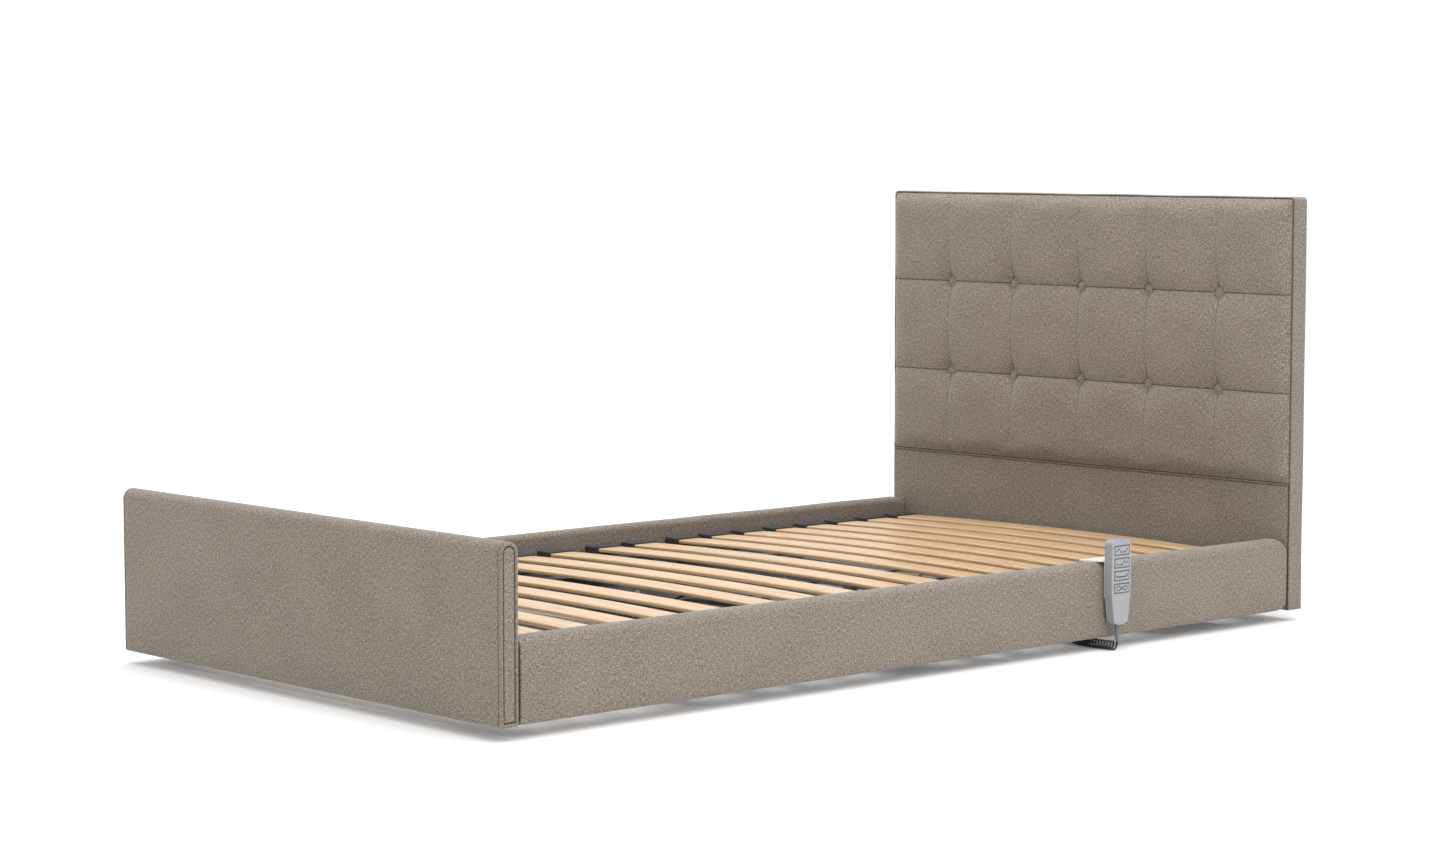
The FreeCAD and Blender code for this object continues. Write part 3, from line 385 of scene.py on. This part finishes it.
for x, inset in stations:
    outline = round_box(foot_half, foot_high, (0.0196, 0.0196, 0.006, 0.006), inset)
    rings.append(np.column_stack([np.full(len(outline), x), foot_mid + outline[:, 0],
                                  foot_centre + outline[:, 1]]))
rings = np.array(rings)
inside = np.clip((high.x - np.abs(rings[..., 0])) / 0.03, 0, 1)
swell = 0.0006 * inside * softness(rings, 0.35, 3)
rings[..., 1] += swell * np.sign(rings[..., 1] - foot_mid)
seam_shade = np.r_[groove_shade, np.zeros(len(inner)), groove_shade[::-1]]
footboard = make_piece("footboard_upholstery", *skin(rings), taupe, "bed_frame", "taupe_fabric",
                       seam=np.repeat(seam_shade, rings.shape[1]))
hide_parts("footboard_cover")


# ---- Side rails ---------------------------------------------------------------------------------
# A board in thick foam and fabric along each side. The top outer edge rolls over softly, and the head
# end is rounded off where it meets the headboard.
def rail_end(away, reach, drop):
    """How far an edge draws in near an end: a quarter of an ellipse, reach long and drop deep."""
    t = np.clip(1 - away / reach, 0, 1)
    return drop * (1 - np.sqrt(1 - t ** 2))


for side_name, sign in (("right", 1), ("left", -1)):
    low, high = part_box(side_name + "_rail_cover")
    mid_x, half_x = (low.x + high.x) / 2, (high.x - low.x) / 2
    mid_z, half_z = (low.z + high.z) / 2, (high.z - low.z) / 2
    from_head = np.r_[0.0, 0.0006, 0.002, 0.004, 0.007, 0.011, 0.016, 0.022, 0.029, 0.037, 0.046, 0.060]
    from_foot = np.r_[0.0, 0.0005, 0.0015, 0.003, 0.005, 0.008, 0.014]
    ys = np.r_[low.y + from_foot, np.linspace(low.y + 0.035, high.y - 0.085, 78), high.y - from_head[::-1]]
    rings = []
    for y in ys:
        head, foot = high.y - y, y - low.y
        sides = rail_end(head, 0.005, 0.004) + rail_end(foot, 0.004, 0.003)
        top = rail_end(head, 0.032, 0.020) + rail_end(foot, 0.005, 0.004)
        bottom = rail_end(head, 0.026, 0.014) + rail_end(foot, 0.005, 0.004)
        outline = round_box(half_x, half_z, (0.0205, 0.012, 0.004, 0.011), 0.0)
        outline[:, 0] *= (half_x - sides) / half_x
        upper = np.clip(outline[:, 1] / half_z, 0, 1)
        lower = np.clip(-outline[:, 1] / half_z, 0, 1)
        outline[:, 1] += lower * bottom - upper * top
        rings.append(np.column_stack([mid_x + sign * outline[:, 0], np.full(len(outline), y),
                                      mid_z + outline[:, 1]]))
    rings = np.array(rings)
    lifted = np.clip((rings[..., 2] - mid_z) / half_z, 0, 1)
    outwards = np.clip((rings[..., 0] - mid_x) * sign / half_x, 0, 1)
    crown = np.clip(1 - ((rings[..., 2] - mid_z) / half_z) ** 2, 0, 1)
    fullness = crown * 0.0012 + 0.0007 * softness(rings, 0.30, 11)
    rings[..., 0] += sign * outwards * fullness - sign * outwards * 0.001
    rings[..., 2] += 0.0007 * softness(rings, 0.26, 17) * lifted
    # Painted shade on the first and last rings, darkening the gaps where the rail meets the headboard and
    # footboard.
    end_shade = np.zeros(len(ys))
    end_shade[:3] = end_shade[:-4:-1] = (0.8, 0.7, 0.3)
    rail = make_piece(side_name + "_rail_upholstery", *skin(rings), taupe, "bed_frame", "taupe_fabric",
                      seam=np.repeat(end_shade, rings.shape[1]))
    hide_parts(side_name + "_rail_cover")


# ---- Headboard border ---------------------------------------------------------------------------
# A boxing strip of the same fabric round both sides and the top of the headboard. It is sewn to the
# pad along its front edge, where painted shade makes the seam show as a thin dark line.
low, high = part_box("headboard_border")
CORNER = 0.010
STRIP = 0.0038
BULGE = 0.0008
half_w, top_z = high.x, high.z
turn = np.linspace(0, np.pi / 2, 10)
left_arc = np.column_stack([-(half_w - CORNER) - CORNER * np.cos(turn),
                            top_z - CORNER + CORNER * np.sin(turn)])
right_arc = left_arc[::-1] * (-1, 1)
legs = np.linspace(low.z, top_z - CORNER, 40)[:-1]
tops = np.linspace(-(half_w - CORNER), half_w - CORNER, 60)[1:-1]
path = np.vstack([np.column_stack([np.full(len(legs), -half_w), legs]), left_arc,
                  np.column_stack([tops, np.full(len(tops), top_z)]), right_arc,
                  np.column_stack([np.full(len(legs), half_w), legs[::-1]])])
ahead = np.gradient(path, axis=0)
ahead /= np.linalg.norm(ahead, axis=1)[:, None]
outward = np.column_stack([-ahead[:, 1], ahead[:, 0]])
deep = high.y - low.y

# The strip's section: how far behind its front edge, and how far out from the headboard's outline.
strip_section = [(0.0002, -STRIP), (0.0000, -0.0016), (0.0008, -0.0007), (0.0024, -0.0002), (0.0050, 0.0),
                 (0.0120, 0.0), (deep / 2, 0.0), (deep - 0.0120, 0.0), (deep - 0.0050, 0.0),
                 (deep - 0.0022, -0.0003), (deep - 0.0006, -0.0011), (deep, -0.0024), (deep, -STRIP)]
rings = np.array([np.column_stack([path[:, 0] + outward[:, 0] * out, np.full(len(path), low.y + back),
                                   path[:, 1] + outward[:, 1] * out]) for back, out in strip_section])
rings = rings.transpose(1, 0, 2)
bulge = BULGE * softness(rings, 0.22, 23)[..., None] * outward[:, None, [0, 1]]
rings[..., 0] += bulge[..., 0] - BULGE * outward[:, None, 0]
rings[..., 2] += bulge[..., 1] - BULGE * outward[:, None, 1]
# Painted shade along the front seam and the back edge of the strip.
seam_shade = np.tile([0.75, 0.75, 0.25] + [0.0] * 8 + [0.3, 0.9], len(path))
border = make_piece("headboard_boxing_strip", *skin(rings), taupe, "bed_frame", "taupe_fabric", seam=seam_shade)
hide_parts("headboard_border")


# ---- Headboard pad ------------------------------------------------------------------------------
# Deep foam under fabric. Two rows of five buttons pull it back to the board, stitched seams run across
# through each row, and a third seam divides it from the flat panel behind the mattress.
low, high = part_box("headboard_pad")
button_low, button_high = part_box("headboard_buttons")
edge_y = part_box("headboard_border")[0].y
half_pad, pad_top, pad_low = high.x, high.z, low.z
button_r = 0.012
button_xs = np.linspace(button_low.x + button_r, button_high.x - button_r, 5)
button_zs = np.array([button_low.z + button_r, button_high.z - button_r])
tuft_low = 0.288  # height of the seam between the tufted part and the flat panel
LOFT = edge_y - low.y + 0.0015
CELL, FINE_CELL = 0.006, 0.0045  # of the grid that settles as cloth, and of the finished front
MOST_MOVED = 0.003


def pull(distance, reach):
    """1 on a line or button and falling away from it: the hyperbolic secant of distance over reach."""
    return 1 / np.cosh(distance / reach)


def bell(distance, width):
    """1 on a line and falling away from it faster than pull does: a bell curve of this width."""
    return np.exp(-(distance / width) ** 2)


def nearest(values, lines):
    """The distance from each value to the nearest line."""
    return np.abs(values[..., None] - np.asarray(lines)).min(-1)


sim_x = np.linspace(-half_pad, half_pad, int(round(2 * half_pad / CELL)) + 1)
sim_z = np.linspace(tuft_low, pad_top, int(round((pad_top - tuft_low) / CELL)) + 1)
button_cols = [int(np.abs(sim_x - x).argmin()) for x in button_xs]
seam_rows = [int(np.abs(sim_z - z).argmin()) for z in button_zs]
gx, gz = np.meshgrid(sim_x, sim_z)
rise = (1 - pull(half_pad - np.abs(gx), 0.007)) * (1 - pull(pad_top - gz, 0.007)) \
    * (1 - pull(gz - tuft_low, 0.006))
to_seam = nearest(gz, sim_z[seam_rows])
to_fold = nearest(gx, sim_x[button_cols])
to_button = np.hypot(to_seam, to_fold)
fold_depth = 0.0026 * pull(to_fold, 0.007) * (0.35 + 0.65 * pull(to_seam, 0.050))
seam_depth = 0.0042 * pull(to_seam, 0.0065) + fold_depth
depth = seam_depth + 0.0100 * pull(np.maximum(to_button - 0.009, 0), 0.012)
start = np.stack([gx, edge_y - LOFT * rise + np.minimum(depth, LOFT * rise), gz], -1)

hold = np.zeros(gx.shape)
hold[[0, -1], :] = 1
hold[:, [0, -1]] = 1
hold[seam_rows, :] = 1
for c in button_cols:
    for r in seam_rows:
        hold[r - 1:r + 2, c - 1:c + 2] = 1


def grid_faces(rows, cols):
    """The quads of a grid of points, row by row."""
    i, j = np.meshgrid(np.arange(rows - 1), np.arange(cols - 1), indexing="ij")
    quads = np.stack([i * cols + j, i * cols + j + 1, (i + 1) * cols + j + 1, (i + 1) * cols + j], -1)
    return quads.reshape(-1, 4)


def settle(points, held, pressure, slack, frames):
    """The grid of points as cloth: cut larger by slack, blown forwards, and held where held is 1."""
    rows, cols = points.shape[:2]
    mesh = bpy.data.meshes.new("cloth")
    mesh.from_pydata(points.reshape(-1, 3).tolist(), [], grid_faces(rows, cols).tolist())
    sheet = bpy.data.objects.new("cloth", mesh)
    bpy.context.scene.collection.objects.link(sheet)
    group = sheet.vertex_groups.new(name="held")
    group.add(np.flatnonzero(held).tolist(), 1.0, "REPLACE")
    cloth_modifier = sheet.modifiers.new("cloth", "CLOTH")
    settings = cloth_modifier.settings
    settings.vertex_group_mass = "held"
    settings.quality, settings.mass = 6, 0.2
    settings.tension_stiffness = settings.compression_stiffness = 20
    settings.shear_stiffness, settings.bending_stiffness = 8, 0.8
    settings.tension_damping = settings.compression_damping = settings.shear_damping = 12
    settings.air_damping = 4
    settings.use_pressure, settings.uniform_pressure_force = True, pressure
    settings.shrink_min = -slack
    settings.effector_weights.gravity = 0.0
    cloth_modifier.point_cache.frame_start, cloth_modifier.point_cache.frame_end = 1, frames
    scene = bpy.context.scene
    for step in range(1, frames + 1):
        scene.frame_set(step)
    settled_sheet = sheet.evaluated_get(bpy.context.evaluated_depsgraph_get())
    result = vertices_of(settled_sheet.to_mesh()).reshape(points.shape)
    scene.frame_set(1)
    bpy.data.objects.remove(sheet)
    return result


settled = settle(start, hold, pressure=0.5, slack=0.002, frames=16)
moved = settled - start
moved *= np.minimum(1, MOST_MOVED / np.maximum(np.linalg.norm(moved, axis=-1), 1e-6))[..., None]
settled = start + moved


def cubic_rows(table, old, new):
    """Catmull-Rom interpolation down the rows of a table, from evenly spaced places to new ones."""
    step = (new - old[0]) / (old[1] - old[0])
    base = np.clip(np.floor(step).astype(int), 0, len(old) - 2)
    t = (step - base).reshape(-1, *[1] * (table.ndim - 1))
    p = [table[np.clip(base + k, 0, len(old) - 1)] for k in (-1, 0, 1, 2)]
    return 0.5 * (2 * p[1] + (p[2] - p[0]) * t + (2 * p[0] - 5 * p[1] + 4 * p[2] - p[3]) * t ** 2
                  + (3 * (p[1] - p[2]) + p[3] - p[0]) * t ** 3)


def crowded(first, last, spacing, lines):
    """Places from first to last at a spacing, with more of them close to each line."""
    places = [np.linspace(first, last, int(round((last - first) / spacing)) + 1)]
    near = np.array([-0.004, -0.0024, -0.0015, -0.0007, 0.0, 0.0007, 0.0015, 0.0024, 0.004])
    places += [line + near for line in lines]
    merged = np.sort(np.concatenate(places))
    merged = merged[(merged >= first) & (merged <= last)]
    return merged[np.r_[True, np.diff(merged) > 0.00045]]


fine_x = crowded(-half_pad, half_pad, FINE_CELL, [*sim_x[button_cols], -half_pad, half_pad])
fine_z = crowded(tuft_low, pad_top, FINE_CELL, [*sim_z[seam_rows], tuft_low, pad_top])
face = cubic_rows(settled, sim_z, fine_z)
face = cubic_rows(face.transpose(1, 0, 2), sim_x, fine_x).transpose(1, 0, 2)
fx, fz = np.meshgrid(fine_x, fine_z)
seam_gap = nearest(fz, sim_z[seam_rows])
fold_gap = nearest(fx, sim_x[button_cols])
button_gap = np.hypot(seam_gap, fold_gap)
to_rim = np.minimum(half_pad - np.abs(fx), pad_top - fz)
groove = 0.0026 * bell(seam_gap, 0.0011) \
    + 0.0016 * bell(fold_gap, 0.0013) * (0.4 + 0.6 * pull(seam_gap, 0.050))
rim_groove = 0.0045 * bell(to_rim, 0.0012)
face[..., 1] += groove + rim_groove
# Painted shade along the seams, the rim and the folds, and in a ring round each button.
crease_shade = np.maximum.reduce([0.65 * bell(seam_gap, 0.0009), 0.75 * bell(to_rim, 0.0010),
                              0.45 * bell(fold_gap, 0.0010) * (0.2 + 0.8 * pull(seam_gap, 0.035)),
                              0.38 * bell(button_gap - button_r, 0.0022)])

# Small folds run out from each button.
ray = np.arctan2(fz - sim_z[seam_rows][np.abs(fz[..., None] - sim_z[seam_rows]).argmin(-1)],
                 fx - sim_x[button_cols][np.abs(fx[..., None] - sim_x[button_cols]).argmin(-1)])
pucker = 0.0008 * np.cos(9 * ray + 2.1 * np.sin(3 * ray)) * pull(button_gap - 0.018, 0.007)
face[..., 1] += pucker

# The flat panel below the tufted part, with a doubled seam along its top.
second_seam = tuft_low - 0.006
panel_z = crowded(pad_low, tuft_low - 0.0012, 0.02, [second_seam])
px, pz = np.meshgrid(fine_x, panel_z)
panel_y = edge_y - 0.0012 + 0.0020 * bell(pz - second_seam, 0.0012) \
    - 0.0006 * softness(np.stack([px, 0 * px, pz], -1), 0.3, 31)
panel = np.stack([px, panel_y, pz], -1)
front = np.vstack([panel, face])
# Painted shade along the doubled seam, the panel's sides, and the joint with the tufted part.
panel_shade = np.maximum(0.8 * bell(pz - second_seam, 0.0010), 0.95 * bell(half_pad - np.abs(px), 0.0010))
panel_shade[-1] = 0.9
crease_shade[0] = 0.9
crease_shade = np.vstack([panel_shade, crease_shade])
rows, cols = front.shape[:2]
faces = grid_faces(rows, cols).tolist()
loop = np.r_[np.arange(cols), np.arange(1, rows) * cols + cols - 1,
             (rows - 1) * cols + np.arange(cols - 2, -1, -1), np.arange(rows - 2, 0, -1) * cols]
back = front.reshape(-1, 3)[loop].copy()
back[:, 1] = high.y
points = np.vstack([front.reshape(-1, 3), back])
behind = rows * cols + np.arange(len(loop))
faces += np.column_stack([loop, behind, np.roll(behind, -1), np.roll(loop, -1)]).tolist()
faces.append(behind.tolist())
pad = make_piece("headboard_buttoned_pad", points, faces, taupe, "bed_frame", "taupe_fabric",
                 seam=np.r_[crease_shade.ravel(), np.zeros(len(loop))])
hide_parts("headboard_pad")

# Each button is a domed disc covered with the fabric: rings from the middle of its front to its back.
ring_r = np.array([0.0, 0.35, 0.6, 0.8, 0.92, 1.0, 0.98, 0.90]) * button_r
ring_y = np.array([-0.0068, -0.0065, -0.0057, -0.0044, -0.0030, -0.0008, 0.0020, 0.0030])
BUTTON_SIDES = 24
spin = np.linspace(0, 2 * np.pi, BUTTON_SIDES + 1)[:-1]
wide = np.maximum(ring_r, 0.0004)[:, None]
rings = np.stack([wide * np.cos(spin), np.repeat(ring_y[:, None], BUTTON_SIDES, 1), wide * np.sin(spin)], -1)
button_points, button_faces = skin(rings)
placed = [(button_points + (x, edge_y + 0.0005, z), button_faces)
          for x in sim_x[button_cols] for z in sim_z[seam_rows]]
buttons = make_piece("headboard_covered_buttons", *joined(placed), taupe, "bed_frame", "taupe_fabric")
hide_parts("headboard_buttons")


# ---- Headboard and rail boards, back cloth ------------------------------------------------------
# Plywood boards inside the covers, and a black non-woven cloth over the headboard's back.
plywood, wire = new_finish("plywood", Roughness=0.7)
plies = noise(wire, scaled(wire, (3.0, 400.0, 90.0)), 1.0, 2.0)
drive_socket(plywood, Base_Color=ramp(wire, plies, (0.3, (0.33, 0.21, 0.11)), (0.7, (0.52, 0.37, 0.22))))

lining, wire = new_finish("back_cloth", Roughness=0.9, Sheen_Weight=0.2)
spot = wire.node("TexCoord", out="Object")
fuzz = noise(wire, spot, 900.0, 3.0)
drive_socket(lining, Base_Color=ramp(wire, fuzz, (0.3, (0.012, 0.012, 0.013)), (0.7, (0.030, 0.030, 0.032))),
             Normal=bump(wire, fuzz, 0.4, 0.0004))


def finish_nodes(finish, *names):
    """Gives CAD nodes a finish."""
    for name in names:
        nodes[name].data.materials.clear()
        nodes[name].data.materials.append(finish)


def flecked_finish(name, roughness, scale, dark, pale, ends=(0.3, 0.7)):
    """A material whose colour drifts between two tones, with so many features to a metre."""
    finish, wire = new_finish(name, Roughness=roughness)
    drift = noise(wire, wire.node("TexCoord", out="Object"), scale)
    drive_socket(finish, Base_Color=ramp(wire, drift, (ends[0], dark), (ends[1], pale)))
    return finish


finish_nodes(plywood, "headboard_board", "footboard_board", "side_rail_boards")
finish_nodes(lining, "headboard_back_cloth")


# ---- Slats --------------------------------------------------------------------------------------
# Laminated beech, pressed into an upward bow, with round edges and a clear lacquer.
beech, wire = new_finish("beech", Roughness=0.42, Coat_Weight=0.25, Coat_Roughness=0.3)
grain = noise(wire, scaled(wire, (5.0, 130.0, 400.0)), 1.0, 3.0, 0.6)
fleck = noise(wire, scaled(wire, (110.0, 900.0, 900.0)), 1.0, 1.0)
figure = ramp(wire, grain, (0.30, (0.40, 0.245, 0.125)), (0.50, (0.52, 0.345, 0.190)),
              (0.72, (0.63, 0.445, 0.265)))
flecked = blend_colours(wire, between(wire, fleck, 0.60, 0.70) * 0.55, figure, (0.27, 0.145, 0.065))
drive_socket(beech, Base_Color=flecked, Normal=bump(wire, grain * 0.6 + fleck * 0.4, 0.25, 0.0003))

SLAT_THICK, SLAT_WIDE = 0.008, 0.060
for section, count in (("back", 8), ("seat", 2), ("thigh", 3), ("calf", 6)):
    low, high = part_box(section + "_slats")
    crown = high.z - low.z - SLAT_THICK
    xs = np.r_[0, 0.0008, 0.002, np.linspace(0.006, 2 * high.x - 0.006, 36), 2 * high.x - 0.002,
               2 * high.x - 0.0008, 2 * high.x] - high.x
    draw_in = np.interp(high.x - np.abs(xs), [0, 0.0008, 0.002], [0.0018, 0.0005, 0.0])
    surfaces = []
    for y in np.linspace(low.y, high.y - SLAT_WIDE, count) + SLAT_WIDE / 2:
        rings = []
        for x, inset in zip(xs, draw_in):
            outline = round_box(SLAT_WIDE / 2, SLAT_THICK / 2, (0.0028,) * 4, inset, arc=4, flat=2)
            bow = low.z + SLAT_THICK / 2 + crown * (1 - (x / high.x) ** 2)
            rings.append(np.column_stack([np.full(len(outline), x), y + outline[:, 0], bow + outline[:, 1]]))
        surfaces.append(skin(np.array(rings)))
    slats = make_piece(section + "_beech_slats", *joined(surfaces), beech,
                       "bed_frame" if section == "seat" else section + "_section", "beech")
    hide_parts(section + "_slats")


# ---- Steel, rubber and plastic of the frame -----------------------------------------------------
# Tubes, tracks, arms and channels are welded steel in a textured grey powder coat. Pins, bolts, rods and
# the retainer are bright zinc. Slat holders and pads are black rubber, and the lift's rollers are nylon.
powder, wire = new_finish("grey_powder_coat", Roughness=0.52, Metallic=0.25)
spot = wire.node("TexCoord", out="Object")
orange_peel = noise(wire, spot, 700.0, 2.0)
worn = noise(wire, spot, 9.0, 4.0, 0.6)
drive_socket(powder, Base_Color=ramp(wire, worn, (0.3, (0.150, 0.155, 0.160)), (0.7, (0.205, 0.210, 0.215))),
             Normal=bump(wire, orange_peel, 0.25, 0.0003))
finish_nodes(powder, "chassis_channels", "chassis_cross_tubes", "outer_arms", "inner_arms",
             "frame_side_tubes", "frame_cross_tubes", "lift_tracks", "seat_frame", "back_frame",
             "thigh_frame", "calf_frame", "surround_plates", "drive_hangers")

zinc, wire = new_finish("bright_zinc", Metallic=1.0)
drawn = noise(wire, scaled(wire, (60.0, 900.0, 900.0)), 1.0, 2.0)
drive_socket(zinc, Base_Color=ramp(wire, drawn, (0.3, (0.50, 0.51, 0.52)), (0.7, (0.62, 0.63, 0.64))),
             Roughness=drawn * 0.25 + 0.2)
finish_nodes(zinc, "outer_arm_axles", "inner_arm_axles", "seat_hinge_pins", "knee_hinge_pins",
             "mattress_retainer", "surround_bolts", "back_drive_rod", "leg_drive_rod", "lift_drive_rod")

rubber, wire = new_finish("black_rubber", Roughness=0.78)
spot = wire.node("TexCoord", out="Object")
grit = noise(wire, spot, 1100.0, 2.0)
drive_socket(rubber, Base_Color=ramp(wire, grit, (0.3, (0.016, 0.016, 0.017)), (0.7, (0.030, 0.030, 0.031))),
             Normal=bump(wire, grit, 0.3, 0.0003))
finish_nodes(rubber, "floor_pads", "rest_pads", "seat_slat_holders", "back_slat_holders",
             "thigh_slat_holders", "calf_slat_holders")

nylon = flecked_finish("natural_nylon", 0.4, 60.0, (0.70, 0.68, 0.61), (0.78, 0.76, 0.70))
finish_nodes(nylon, "upper_rollers", "lower_rollers")


# ---- Drives and control box ---------------------------------------------------------------------
# Moulded black plastic with a fine spark-eroded texture, and black leads between them.
moulded, wire = new_finish("black_moulding", Roughness=0.5)
spot = wire.node("TexCoord", out="Object")
spark = noise(wire, spot, 1500.0, 2.0)
drive_socket(moulded, Base_Color=ramp(wire, spark, (0.3, (0.014, 0.0145, 0.015)),
                                      (0.7, (0.026, 0.0265, 0.028))),
             Roughness=spark * 0.2 + 0.4, Normal=bump(wire, spark, 0.35, 0.0002))
finish_nodes(moulded, "back_drive", "leg_drive", "lift_drive", "control_box")
finish_nodes(cord_black, "drive_leads")


# ---- Handset ------------------------------------------------------------------------------------
# Two shells of silver-grey satin plastic with four rocking keys, a grey boot for the cord, and a pale
# plastic strap that hooks over the rail.
silver, wire = new_finish("silver_grey_satin", Roughness=0.38, Metallic=0.15, Coat_Weight=0.1)
spot = wire.node("TexCoord", out="Object")
flake = noise(wire, spot, 2600.0, 2.0)
drive_socket(silver, Base_Color=ramp(wire, flake, (0.3, (0.250, 0.255, 0.268)), (0.7, (0.310, 0.315, 0.330))),
             Normal=bump(wire, flake, 0.15, 0.0001))
finish_nodes(silver, "handset_front_shell", "handset_back_shell", "key_back", "key_leg", "key_height",
             "key_contour")

boot_grey = flecked_finish("grey_boot", 0.6, 900.0, (0.11, 0.115, 0.12), (0.15, 0.155, 0.16))
finish_nodes(boot_grey, "handset_cord_boot")

# Each key has a dark printed border and a dark sign: back up, legs up, height, and the contour curve.
print_black = flecked_finish("printed_sign", 0.5, 2000.0, (0.016, 0.017, 0.020), (0.030, 0.031, 0.034))


def printed_line(line, width, face_x, centre_y, centre_z):
    """Points and faces of a flat ribbon along a line of (right, up), in millimetres, on a key's face.

    At each point the ribbon is as wide as width, square to the mean of the two directions that meet there.
    """
    line = np.asarray(line, float)
    closed = np.allclose(line[0], line[-1])
    step = np.diff(line, axis=0)
    step /= np.linalg.norm(step, axis=1)[:, None]
    first, last = (step[-1], step[0]) if closed else (step[0], step[-1])
    way = np.vstack([first + step[0], step[1:] + step[:-1], step[-1] + last])
    way /= np.linalg.norm(way, axis=1)[:, None]
    across = np.column_stack([-way[:, 1], way[:, 0]]) * width / 2
    rings = np.empty((len(line), 4, 3))
    for k, (turn, proud) in enumerate(((1, -0.05), (1, 0.10), (-1, 0.10), (-1, -0.05))):
        rings[:, k, 0] = face_x + proud / 1000
        rings[:, k, 1:] = (centre_y, centre_z) + (line + turn * across) / 1000
    return skin(rings)


BORDER_IN, BORDER_CORNER, BORDER_WIDE = 0.7, 2.6, 1.0  # millimetres, as printed_line takes them
turn = np.linspace(0, 2 * np.pi, 41)
signs = {
    "key_back": ([(-17, -2), (-14, -1.5), (-9.5, 4.5), (-4, -3.5), (11, -3.5), (15, 1.5), (17.5, 2)], 1.9),
    "key_leg": ([(-17, -0.5), (-14, -3.5), (0, -3.5), (6, 4.5), (11, -0.5), (15, 1.5), (17.5, 0)], 1.9),
    "key_height": ([(-17, 1), (-14.5, -2), (-7, -2.4), (7, -2.4), (14, -2), (17, 3)], 2.4),
    "key_contour": (np.column_stack([15 * np.sin(turn), 4.2 * np.sin(2 * turn)]), 1.8),
}
for key, (line, width) in signs.items():
    low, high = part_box(key)
    middle = (low.y + high.y) / 2, (low.z + high.z) / 2
    half_wide, half_tall = 1000 * (high.y - low.y) / 2, 1000 * (high.z - low.z) / 2
    key_border = round_box(half_wide - BORDER_IN, half_tall - BORDER_IN, (BORDER_CORNER,) * 4, 0.0)
    printed = [printed_line(np.vstack([key_border, key_border[:1]]), BORDER_WIDE, high.x, *middle),
               printed_line(line, width, high.x, *middle)]
    make_piece(key + "_sign", *joined(printed), print_black, key, "black_plastic", smooth=False)

cream = flecked_finish("cream_strap", 0.45, 500.0, (0.66, 0.62, 0.54), (0.74, 0.70, 0.62))
finish_nodes(cream, "handset_hook")

board_green = flecked_finish("circuit_board", 0.4, 300.0, (0.01, 0.06, 0.03), (0.02, 0.10, 0.05), (0.4, 0.6))
finish_nodes(board_green, "handset_circuit_board")


# ---- Floor and light ----------------------------------------------------------------------------
# A white floor under an even white sky, a large soft light above the right side, and one overhead.
FLOOR_HALF = 30.0
WHITE = (1.0, 1.0, 1.0, 1.0)
floor_white, _ = new_finish("floor_white", Base_Color=(0.90, 0.90, 0.90, 1.0), Roughness=1.0,
                            Specular_IOR_Level=0.0, Emission_Color=WHITE, Emission_Strength=0.08)
floor_corners = [(x * FLOOR_HALF, y * FLOOR_HALF, 0) for x, y in ((-1, -1), (1, -1), (1, 1), (-1, 1))]
floor_mesh = bpy.data.meshes.new("floor")
floor_mesh.from_pydata(floor_corners, [], [(0, 1, 2, 3)])
floor = bpy.data.objects.new("floor", floor_mesh)
floor_mesh.materials.append(floor_white)
bpy.context.scene.collection.objects.link(floor)

sky = bpy.data.worlds.new("studio")
sky.use_nodes = True
background = sky.node_tree.nodes["Background"].inputs
background["Color"].default_value, background["Strength"].default_value = WHITE, 1.06
bpy.context.scene.world = sky


def soft_light(name, place, aim, size, power):
    """A square area light at a place, turned to face a point."""
    lamp = bpy.data.lights.new(name, "AREA")
    lamp.size, lamp.energy = size, power
    holder = bpy.data.objects.new(name, lamp)
    holder.location = place
    holder.rotation_euler = (Vector(aim) - Vector(place)).to_track_quat("-Z", "Y").to_euler()
    bpy.context.scene.collection.objects.link(holder)


soft_light("key", (3.2, -0.6, 3.6), (0.0, 0.0, 0.2), 3.0, 66.0)
soft_light("top", (-0.3, 0.3, 4.2), (0.0, 0.0, 0.0), 3.0, 120.0)
bpy.context.scene.view_settings.view_transform = "Standard"
